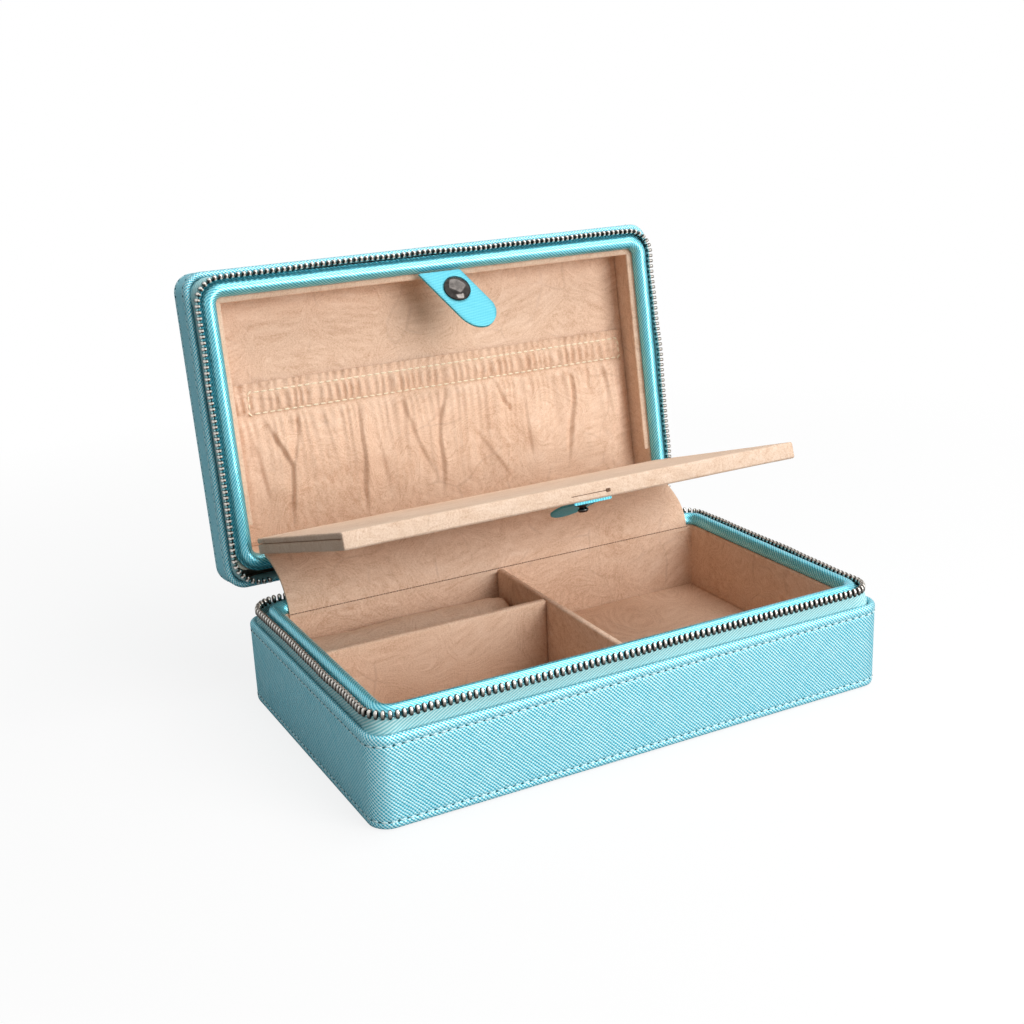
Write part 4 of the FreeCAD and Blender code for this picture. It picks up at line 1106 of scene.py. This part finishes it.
stud = {
    "outline": [(0.0, 0.0), (1.9, 0.0), (1.85, 0.25), (1.3, 0.6), (1.2, 0.9), (1.45, 1.2), (1.85, 1.45),
                (1.9, 1.8), (1.75, 2.2), (1.35, 2.48), (0.7, 2.6), (0.0, 2.62)],
    "y": -82.8,
    "drop": 1.55,
}
studPlace = flapFrame @ Matrix.Translation((flapTab["middle"], stud["y"], -stud["drop"])) @ upsideDown
snapStud = turnedPiece("flapSnapStud", stud["outline"], studPlace, snapPaintedReflection, 28)
dress(snapStud, "flap", "snap_metal", "flap_snap_stud")

strap = {"width": 15.5, "length": 27.0, "thick": 1.2, "tuck": 1.25, "lean": 27.4, "sag": 0.0, "droop": 50.0,
         "rootY": -46.8, "rootZ": 39.15, "flatZ": 44.5, "snapAt": 8.2}
snap = {
    "cap": [(0.0, 0.0), (5.3, 0.0), (5.4, 0.25), (5.38, 0.6), (5.2, 0.85), (4.7, 1.2), (3.9, 1.6), (2.9, 1.9),
            (1.7, 2.12), (0.8, 2.19), (0.0, 2.2)],
    "socket": [(0.0, 0.0), (4.4, 0.0), (4.5, 0.3), (4.45, 1.1), (4.1, 1.6), (3.6, 2.0), (2.3, 2.0), (2.0, 1.85),
               (1.9, 1.5), (1.9, 0.8), (0.0, 0.8)],
}


def strapMatrix():
    # the strap hangs from the lid's edge, leaning to the right and drooping forwards
    root = openTurn @ Vector((0, strap["rootY"], strap["rootZ"]))
    lean, droop = math.radians(strap["lean"]), math.radians(strap["droop"])
    along = Vector((math.sin(lean), -math.cos(lean) * math.cos(droop), -math.cos(lean) * math.sin(droop)))
    across = (Vector((1, 0, 0)) - along * along.x).normalized()
    face = across.cross(-along)
    return Matrix.Translation(root) @ Matrix((across, -along, face)).transposed().to_4x4()


strapFrame = strapMatrix()
hanging = strapPiece("lidStrap", strap, strapFrame)
dress(hanging, "lid", "leatherette", "lid_strap")
capPlace = strapFrame @ Matrix.Translation((0, -strap["snapAt"], strap["thick"]))
snapCap = turnedPiece("lidSnapCap", snap["cap"], capPlace, snapPaintedReflection, 48)
dress(snapCap, "lid", "snap_metal", "lid_snap_cap")
socketPlace = strapFrame @ Matrix.Translation((0, -strap["snapAt"], 0)) @ upsideDown
socket = turnedPiece("lidSnapSocket", snap["socket"], socketPlace, snapPaintedReflection, 36)
dress(socket, "lid", "snap_metal", "lid_snap_socket")
for piece in (hanging, snapCap, socket):
    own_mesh(piece)
print("flap and strap made")

pocket = {
    "half": 86.0,
    "low": 1.7,
    "rowLow": 49.5,
    "rowHigh": 57.5,
    "rowLeft": -77.5,
    "rowRight": 84.2,
    "top": 61.0,
    "acrossStep": 0.55,
    "upStep": 0.7,
    "ruche": 3.3,
    "sideEase": 5.0,
    "bandLift": 0.75,
    "least": 0.35,
    "slack": 1.03,
    "threadLift": 0.2,
    # folds pressed into the cloth: points (across, up from the hinge), depth and width in mm
    "folds": [
        ([(-70.9, 43.0), (-67.4, 34.7), (-64.2, 28.0), (-65.5, 15.8), (-66.4, 4.5)], 1.9, 1.5),
        ([(-58.8, 46.5), (-61.2, 36.8), (-64.2, 28.0)], 1.2, 1.6),
        ([(-34.8, 47.5), (-35.3, 34.6), (-35.2, 24.0), (-36.1, 13.6), (-35.7, 4.9)], 1.5, 1.7),
        ([(-16.8, 46.4), (-14.0, 36.4), (-11.7, 28.6), (-5.4, 14.5)], 1.0, 2.2),
        ([(3.1, 47.6), (-1.2, 36.5), (-2.4, 28.1), (-2.0, 18.3), (-2.9, 7.5)], 1.6, 1.6),
        ([(25.0, 48.3), (27.0, 40.9), (31.2, 34.7)], 1.3, 1.8),
        ([(37.5, 40.0), (37.3, 24.9), (38.5, 14.6)], 0.8, 1.8),
        ([(60.6, 48.2), (59.9, 37.0), (57.3, 21.6), (55.0, 8.4)], 1.6, 1.6),
        ([(68.5, 47.6), (66.9, 36.0)], 0.9, 1.6),
        ([(-28.5, 34.3), (-25.8, 14.1)], 0.6, 2.4),
        ([(16.2, 25.9), (26.8, 9.1)], 0.6, 2.4),
        ([(-78.0, 40.0), (-74.5, 16.0)], 0.6, 2.6),
        ([(76.0, 46.0), (78.0, 24.0)], 0.8, 2.2),
        ([(-49.0, 46.0), (-47.0, 30.0)], 0.7, 2.2),
    ],
}
pocketStitch = {"pitch": 2.9, "stitch": (2.4, 0.75, 0.6), "hole": (0.3, 0.25, 0.15), "seed": 3,
                "thread": creamThread, "shade": creamThread}


def nearFold(x, u, points):
    # distance to the fold's line, signed by side, and how far along it the nearest point is
    best = (1e9, 0.0, 0.0)
    for n, ((ax, ay), (bx, by)) in enumerate(zip(points, points[1:])):
        dx, dy = bx - ax, by - ay
        t = max(0.0, min(1.0, ((x - ax) * dx + (u - ay) * dy) / (dx * dx + dy * dy)))
        gap = math.hypot(x - ax - dx * t, u - ay - dy * t)
        side = 1.0 if (x - ax) * dy - (u - ay) * dx > 0 else -1.0
        if gap < best[0]:
            best = (gap, side, (n + t) / (len(points) - 1))
    return best


def pocketLift(x, u):
    # height of the cloth over the lining panel
    edge = min(1.0, (pocket["half"] - abs(x)) / pocket["sideEase"])
    warp = x + 2.3 * lumps(x * 0.13, u * 0.03, 2.0)
    ruche = 0.5 + 0.5 * math.sin(2 * math.pi * warp / pocket["ruche"])
    strength = 0.55 + 0.45 * lumps(x * 0.09, 3.0, u * 0.02)
    rowLow, rowHigh, top = pocket["rowLow"], pocket["rowHigh"], pocket["top"]
    if u >= rowHigh:  # the free frill above the band
        free = (u - rowHigh) / (top - rowHigh)
        return pocket["bandLift"] + edge * (ruche * 1.5 * strength * (0.3 + free) + 0.25 * free)
    if u >= rowLow:  # the elastic band, ruched between its two rows
        puff = math.sin(math.pi * (u - rowLow) / (rowHigh - rowLow))
        return pocket["bandLift"] + edge * puff ** 0.6 * (0.3 + 2.7 * ruche * strength)
    fall = (rowLow - u) / (rowLow - pocket["low"])  # the pouch below it
    sag = math.sin(math.pi * min(1.0, fall * 1.02)) ** 0.7
    gather = math.exp(-fall * 3.6)
    broad = 0.5 + 0.5 * math.sin(x * 0.34 + 2.2 * lumps(x * 0.05, u * 0.03, 7.0))
    wave = lumps(x * 0.06, u * 0.05, 11.0)
    crumple = lumps(x * 0.16 + u * 0.05, u * 0.13, 5.0)
    lift = 0.5 + edge * (1.7 * sag + 1.9 * gather * ruche * strength * min(1.0, fall * 14)
                         + sag * (1.3 * broad * (1 - fall) + 0.9 * wave + 0.6 * crumple))
    for points, depth, width in pocket["folds"]:
        gap, side, along = nearFold(x, u, points)
        if gap < width * 9:
            taper = min(1.0, (1 - along) * 4 + 0.15) * min(1.0, along * 5 + 0.45)
            over = 0.5 + 0.5 * math.tanh(-side * gap / 0.4)  # the cloth right of the line laps over the left
            tuck = math.exp(-(gap / width) ** 2)
            lift += depth * taper * (over * 0.85 * math.exp(-gap / width / 2.6) - (1 - over) * 0.6 * tuck)
    return max(lift * min(1.0, 0.35 + fall * 8), pocket["least"])


def pocketPoint(x, u, above=0.0):
    return (-x, case["mouthBack"] - u, halves["lid"]["floor"] + pocketLift(x, u) + above)


def buildPocket():
    half, low, top = pocket["half"], pocket["low"], pocket["top"]
    wide, tall = round(2 * half / pocket["acrossStep"]), round((top - low) / pocket["upStep"])
    verts, faces = [], []
    for i in range(tall + 1):
        u = low + (top - low) * i / tall
        verts += [pocketPoint(-half + 2 * half * j / wide, u) for j in range(wide + 1)]
    for i in range(tall):
        for a in range(i * (wide + 1), i * (wide + 1) + wide):
            faces.append((a, a + 1, a + wide + 2, a + wide + 1))
    uvs = [verts[v][:2] for face in faces for v in face]
    return makePiece("elasticPocket", verts, faces, uvs, lidFrame, liningSuede, 180)


pouch = buildPocket()
dress(pouch, "lid", "suede", "pocket_sheet", "pocket_band")
left, right, low, high = [pocket[key] for key in ("rowLeft", "rowRight", "rowLow", "rowHigh")]
corners = [(left, low), (right, low), (right, high), (left, high)]
rowPoints = []
for here, after in zip(corners, corners[1:] + corners[:1]):
    spots = between(here, after, round(math.dist(here, after) / pocket["upStep"]))
    rowPoints += [(pocketPoint(x, u, pocket["threadLift"]), (0, 0, 1)) for x, u in spots]
sewRow("pocketStitches", [(rowPoints, True)], lidFrame, pocketStitch, "lid", "suede")


def stripPiece(name, line, sizes, material):
    # a strip of cloth across the case that follows a line of (y, z) points, and the line's length
    half, count = sizes["halfWidth"], round(2 * sizes["halfWidth"] / sizes["step"])
    last, wide = len(line) - 1, count + 1
    runs = [0.0]
    for here, after in zip(line, line[1:]):
        runs.append(runs[-1] + math.dist(here, after))
    verts = []
    for side in (-0.5, 0.5):
        for n, (y, z) in enumerate(line):
            before, after = line[max(0, n - 1)], line[min(last, n + 1)]
            long = math.dist(before, after)
            outY, outZ = (before[1] - after[1]) / long, (after[0] - before[0]) / long
            wave = sizes["wave"] * math.sin(math.pi * n / last)
            for k in range(wide):
                x = -half + 2 * half * k / count
                out = side * sizes["thick"] + wave * lumps(x * 0.05, runs[n] * 0.1, 3.0)
                verts.append((x, y + outY * out, z + outZ * out))
    faces = slabFaces(len(line), wide)
    uvs = [(verts[v][0], runs[v // wide % len(line)]) for face in faces for v in face]
    return makePiece(name, verts, faces, uvs, baseFrame, material, 50), runs[-1]


def arcLine(start, middle, end, count):
    # points of the circle through three points
    (ax, ay), (bx, by), (cx, cy) = start, middle, end
    a, b, c = ax * ax + ay * ay, bx * bx + by * by, cx * cx + cy * cy
    d = 2 * (ax * (by - cy) + bx * (cy - ay) + cx * (ay - by))
    ux = (a * (by - cy) + b * (cy - ay) + c * (ay - by)) / d
    uy = (a * (cx - bx) + b * (ax - cx) + c * (bx - ax)) / d
    radius = math.hypot(ax - ux, ay - uy)
    first, last = math.atan2(ay - uy, ax - ux), math.atan2(cy - uy, cx - ux)
    if abs(last - first) > math.pi:
        last += 2 * math.pi if last < first else -2 * math.pi
    angles = [first + (last - first) * n / count for n in range(count + 1)]
    return [(ux + radius * math.cos(angle), uy + radius * math.sin(angle)) for angle in angles]


def straightRow(half, spot, facing):
    # a run across the case at this (y, z), a point every 2 mm
    return [([((x, *spot), facing) for x in range(-half, half + 1, 2)], False)]


hinge = {
    "halfWidth": 85.0,
    "thick": 1.0,
    "step": 4.0,
    "wave": 0.5,
    "sewn": [(45.0, 31.4), (45.02, 33.6), (45.35, 35.3)],
    "start": (45.9, 37.25),
    "middle": (53.2, 45.0),
    "end": (67.81, 48.87),
}
hingeLine = hinge["sewn"] + arcLine(hinge["start"], hinge["middle"], hinge["end"], 14)
bridge, bridgeLong = stripPiece("hingeLining", hingeLine, hinge, liningSuede)
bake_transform(bridge)
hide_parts("hinge_lining")
# painted shade: the hinge seam is a dark stitched line where the strip meets the back lining; its darker thread
# is partly the seam's own colour and partly painted crease shade, and its holes are painted shade
seam = {"half": 84, "spot": (44.48, 33.2)}
seamStitch = {"pitch": 2.6, "stitch": (2.1, 0.45, 0.4), "hole": (0.8, 0.4, 0.3), "seed": 5,
              "thread": seamThreadAndShade, "shade": slitShade}
sewRow("hingeSeam", straightRow(seam["half"], seam["spot"], (0, -1, 0)), baseFrame, seamStitch, "base", "suede")

spine = {
    "halfWidth": 60.0,
    "thick": 0.9,
    "step": 4.0,
    "wave": 0.2,
    "low": (58.55, 22.0),
    "bendFrom": (58.55, 30.33),
    "bendAt": (60.64, 35.0),
    "bendTo": (65.45, 36.27),
    "far": (82.59, 33.67),
    "rowHalf": 58,
    "rows": {"base": ((59.02, 23.8), (0, 1, 0)), "lid": ((81.03, 33.45), (0, -0.15, -0.989))},
}
spineLine = between(spine["low"], spine["bendFrom"], 4)
spineLine += arcLine(spine["bendFrom"], spine["bendAt"], spine["bendTo"], 12)
spineLine += reversed(between(spine["far"], spine["bendTo"], 6))
backStrip, _ = stripPiece("hingeSpine", spineLine, spine, coverLeather)
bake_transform(backStrip)
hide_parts("hinge_spine")
for word, (spot, facing) in spine["rows"].items():
    sewRow(word + "SpineStitches", straightRow(spine["rowHalf"], spot, facing), baseFrame,
           {**coverStitch, "seed": 9}, word, "leatherette")

fillings = [
    (greyBoard, ["base_shell_board", "lid_shell_board", "base_plate_board", "lid_plate_board"]),
    (wallFoam, ["base_wall_foam", "lid_wall_foam"]),
    (zipNickel, ["zip_slider", "zip_pull_ring", "zip_end_stop"]),
    (pullLeather, ["zip_pull_tab"]),
]
for material, nodes in fillings:
    for node in nodes:
        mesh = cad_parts[node].data
        mesh.materials.clear()
        mesh.materials.append(material)
print("hinge strips and inner layers done")

studio = {
    "camera": (-229.6, -410.3, 220.6),
    "right": (0.8812, -0.471, -0.0424),
    "up": (0.1812, 0.2534, 0.9503),
    "back": (-0.4369, -0.8449, 0.3086),
    "lens": 50.0,
    "sensor": 36.0,
    "near": 0.01,
    "far": 20.0,
    "ambient": 0.3,
    "paper": "#F4F4F4",
    "bounce": "#868686",
    "shadowKeep": 0.16,
    "fadeFrom": 0.2,
    "fadeTo": 0.5,
    "paperReach": 4.0,
    "paperDrop": 0.0002,
}
white = (1, 1, 1, 1)
eye = bpy.data.cameras.new("photoView")
eye.lens, eye.sensor_width = studio["lens"], studio["sensor"]
eye.clip_start, eye.clip_end = studio["near"], studio["far"]
camera = addObject("photoView", eye)
turn = Matrix((studio["right"], studio["up"], studio["back"])).transposed().to_4x4()
camera.matrix_world = Matrix.Translation(Vector(studio["camera"]) * mm) @ turn
bpy.context.scene.camera = camera

lamps = [  # name, place, aim, size, watts
    ("keySoftbox", (0.45, -1.05, 0.42), (0.0, 0.0, 0.05), 0.75, 12.2),
    ("topSoftbox", (0.3, -0.15, 0.95), (0.0, 0.0, 0.05), 0.8, 6.0),
]
for name, place, aim, across, watts in lamps:
    light = bpy.data.lights.new(name, "AREA")
    light.size = across
    light.energy = watts
    lamp = addObject(name, light)
    lamp.location = place
    lamp.rotation_mode = "QUATERNION"
    lamp.rotation_quaternion = (Vector(aim) - Vector(place)).to_track_quat("-Z", "Y")


def seenRay(tree):
    # 1 for rays from the camera, mirrors and glass, 0 for rays that light the object
    rays = addNode(tree, "ShaderNodeLightPath").outputs
    direct = addNode(tree, "ShaderNodeMath", {"operation": "MAXIMUM"}, {
        0: rays["Is Camera Ray"], 1: rays["Is Glossy Ray"]})
    return addNode(tree, "ShaderNodeMath", {"operation": "MAXIMUM"}, {
        0: direct, 1: rays["Is Transmission Ray"]})


world = bpy.data.worlds.new("whiteStudio")
bpy.context.scene.world = world
tree = emptyTree(world)
soft = addNode(tree, "ShaderNodeBackground", {"Color": white, "Strength": studio["ambient"]})
bright = addNode(tree, "ShaderNodeBackground", {"Color": white, "Strength": 1.0})
sky = addNode(tree, "ShaderNodeMixShader", None, {0: seenRay(tree), 1: soft, 2: bright})
addNode(tree, "ShaderNodeOutputWorld", None, {"Surface": sky})

# white paper: the shadow shows near the case and fades to plain white, and mirrors see the paper alone
floorPaper, tree = newMaterial("white paper floor")
paper = addNode(tree, "ShaderNodeBsdfDiffuse", {"Color": hexColour(studio["paper"])})
glow = addNode(tree, "ShaderNodeEmission", {"Color": white, "Strength": 1.0})
spot = addNode(tree, "ShaderNodeTexCoord").outputs["Object"]
away = addNode(tree, "ShaderNodeVectorMath", {"operation": "LENGTH"}, {0: spot})
plain = addNode(tree, "ShaderNodeMapRange", {
    "From Min": studio["fadeFrom"], "From Max": studio["fadeTo"], "To Min": 1 - studio["shadowKeep"],
    "To Max": 1.0}, {"Value": away.outputs["Value"]})
glossy = addNode(tree, "ShaderNodeLightPath").outputs["Is Glossy Ray"]
unmirrored = addNode(tree, "ShaderNodeMath", {"operation": "SUBTRACT", 0: 1.0}, {1: glossy})
share = addNode(tree, "ShaderNodeMath", {"operation": "MULTIPLY"}, {0: plain, 1: unmirrored})
lit = addNode(tree, "ShaderNodeMixShader", None, {0: share, 1: paper, 2: glow})
bounce = addNode(tree, "ShaderNodeBsdfDiffuse", {"Color": hexColour(studio["bounce"])})
shown = addNode(tree, "ShaderNodeMixShader", None, {0: seenRay(tree), 1: bounce, 2: lit})
addNode(tree, "ShaderNodeOutputMaterial", None, {"Surface": shown})
reach = studio["paperReach"]
sheet = bpy.data.meshes.new("paperFloor")
sheet.from_pydata([(-reach, -reach, 0), (reach, -reach, 0), (reach, reach, 0), (-reach, reach, 0)], [],
                  [(0, 1, 2, 3)])
sheet.materials.append(floorPaper)
paperFloor = addObject("paperFloor", sheet)
paperFloor.location.z = -studio["paperDrop"]
paperFloor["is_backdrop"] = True

bpy.context.scene.view_settings.view_transform = "Standard"
low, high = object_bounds()
print("size", [round(v / mm, 1) for v in high - low])
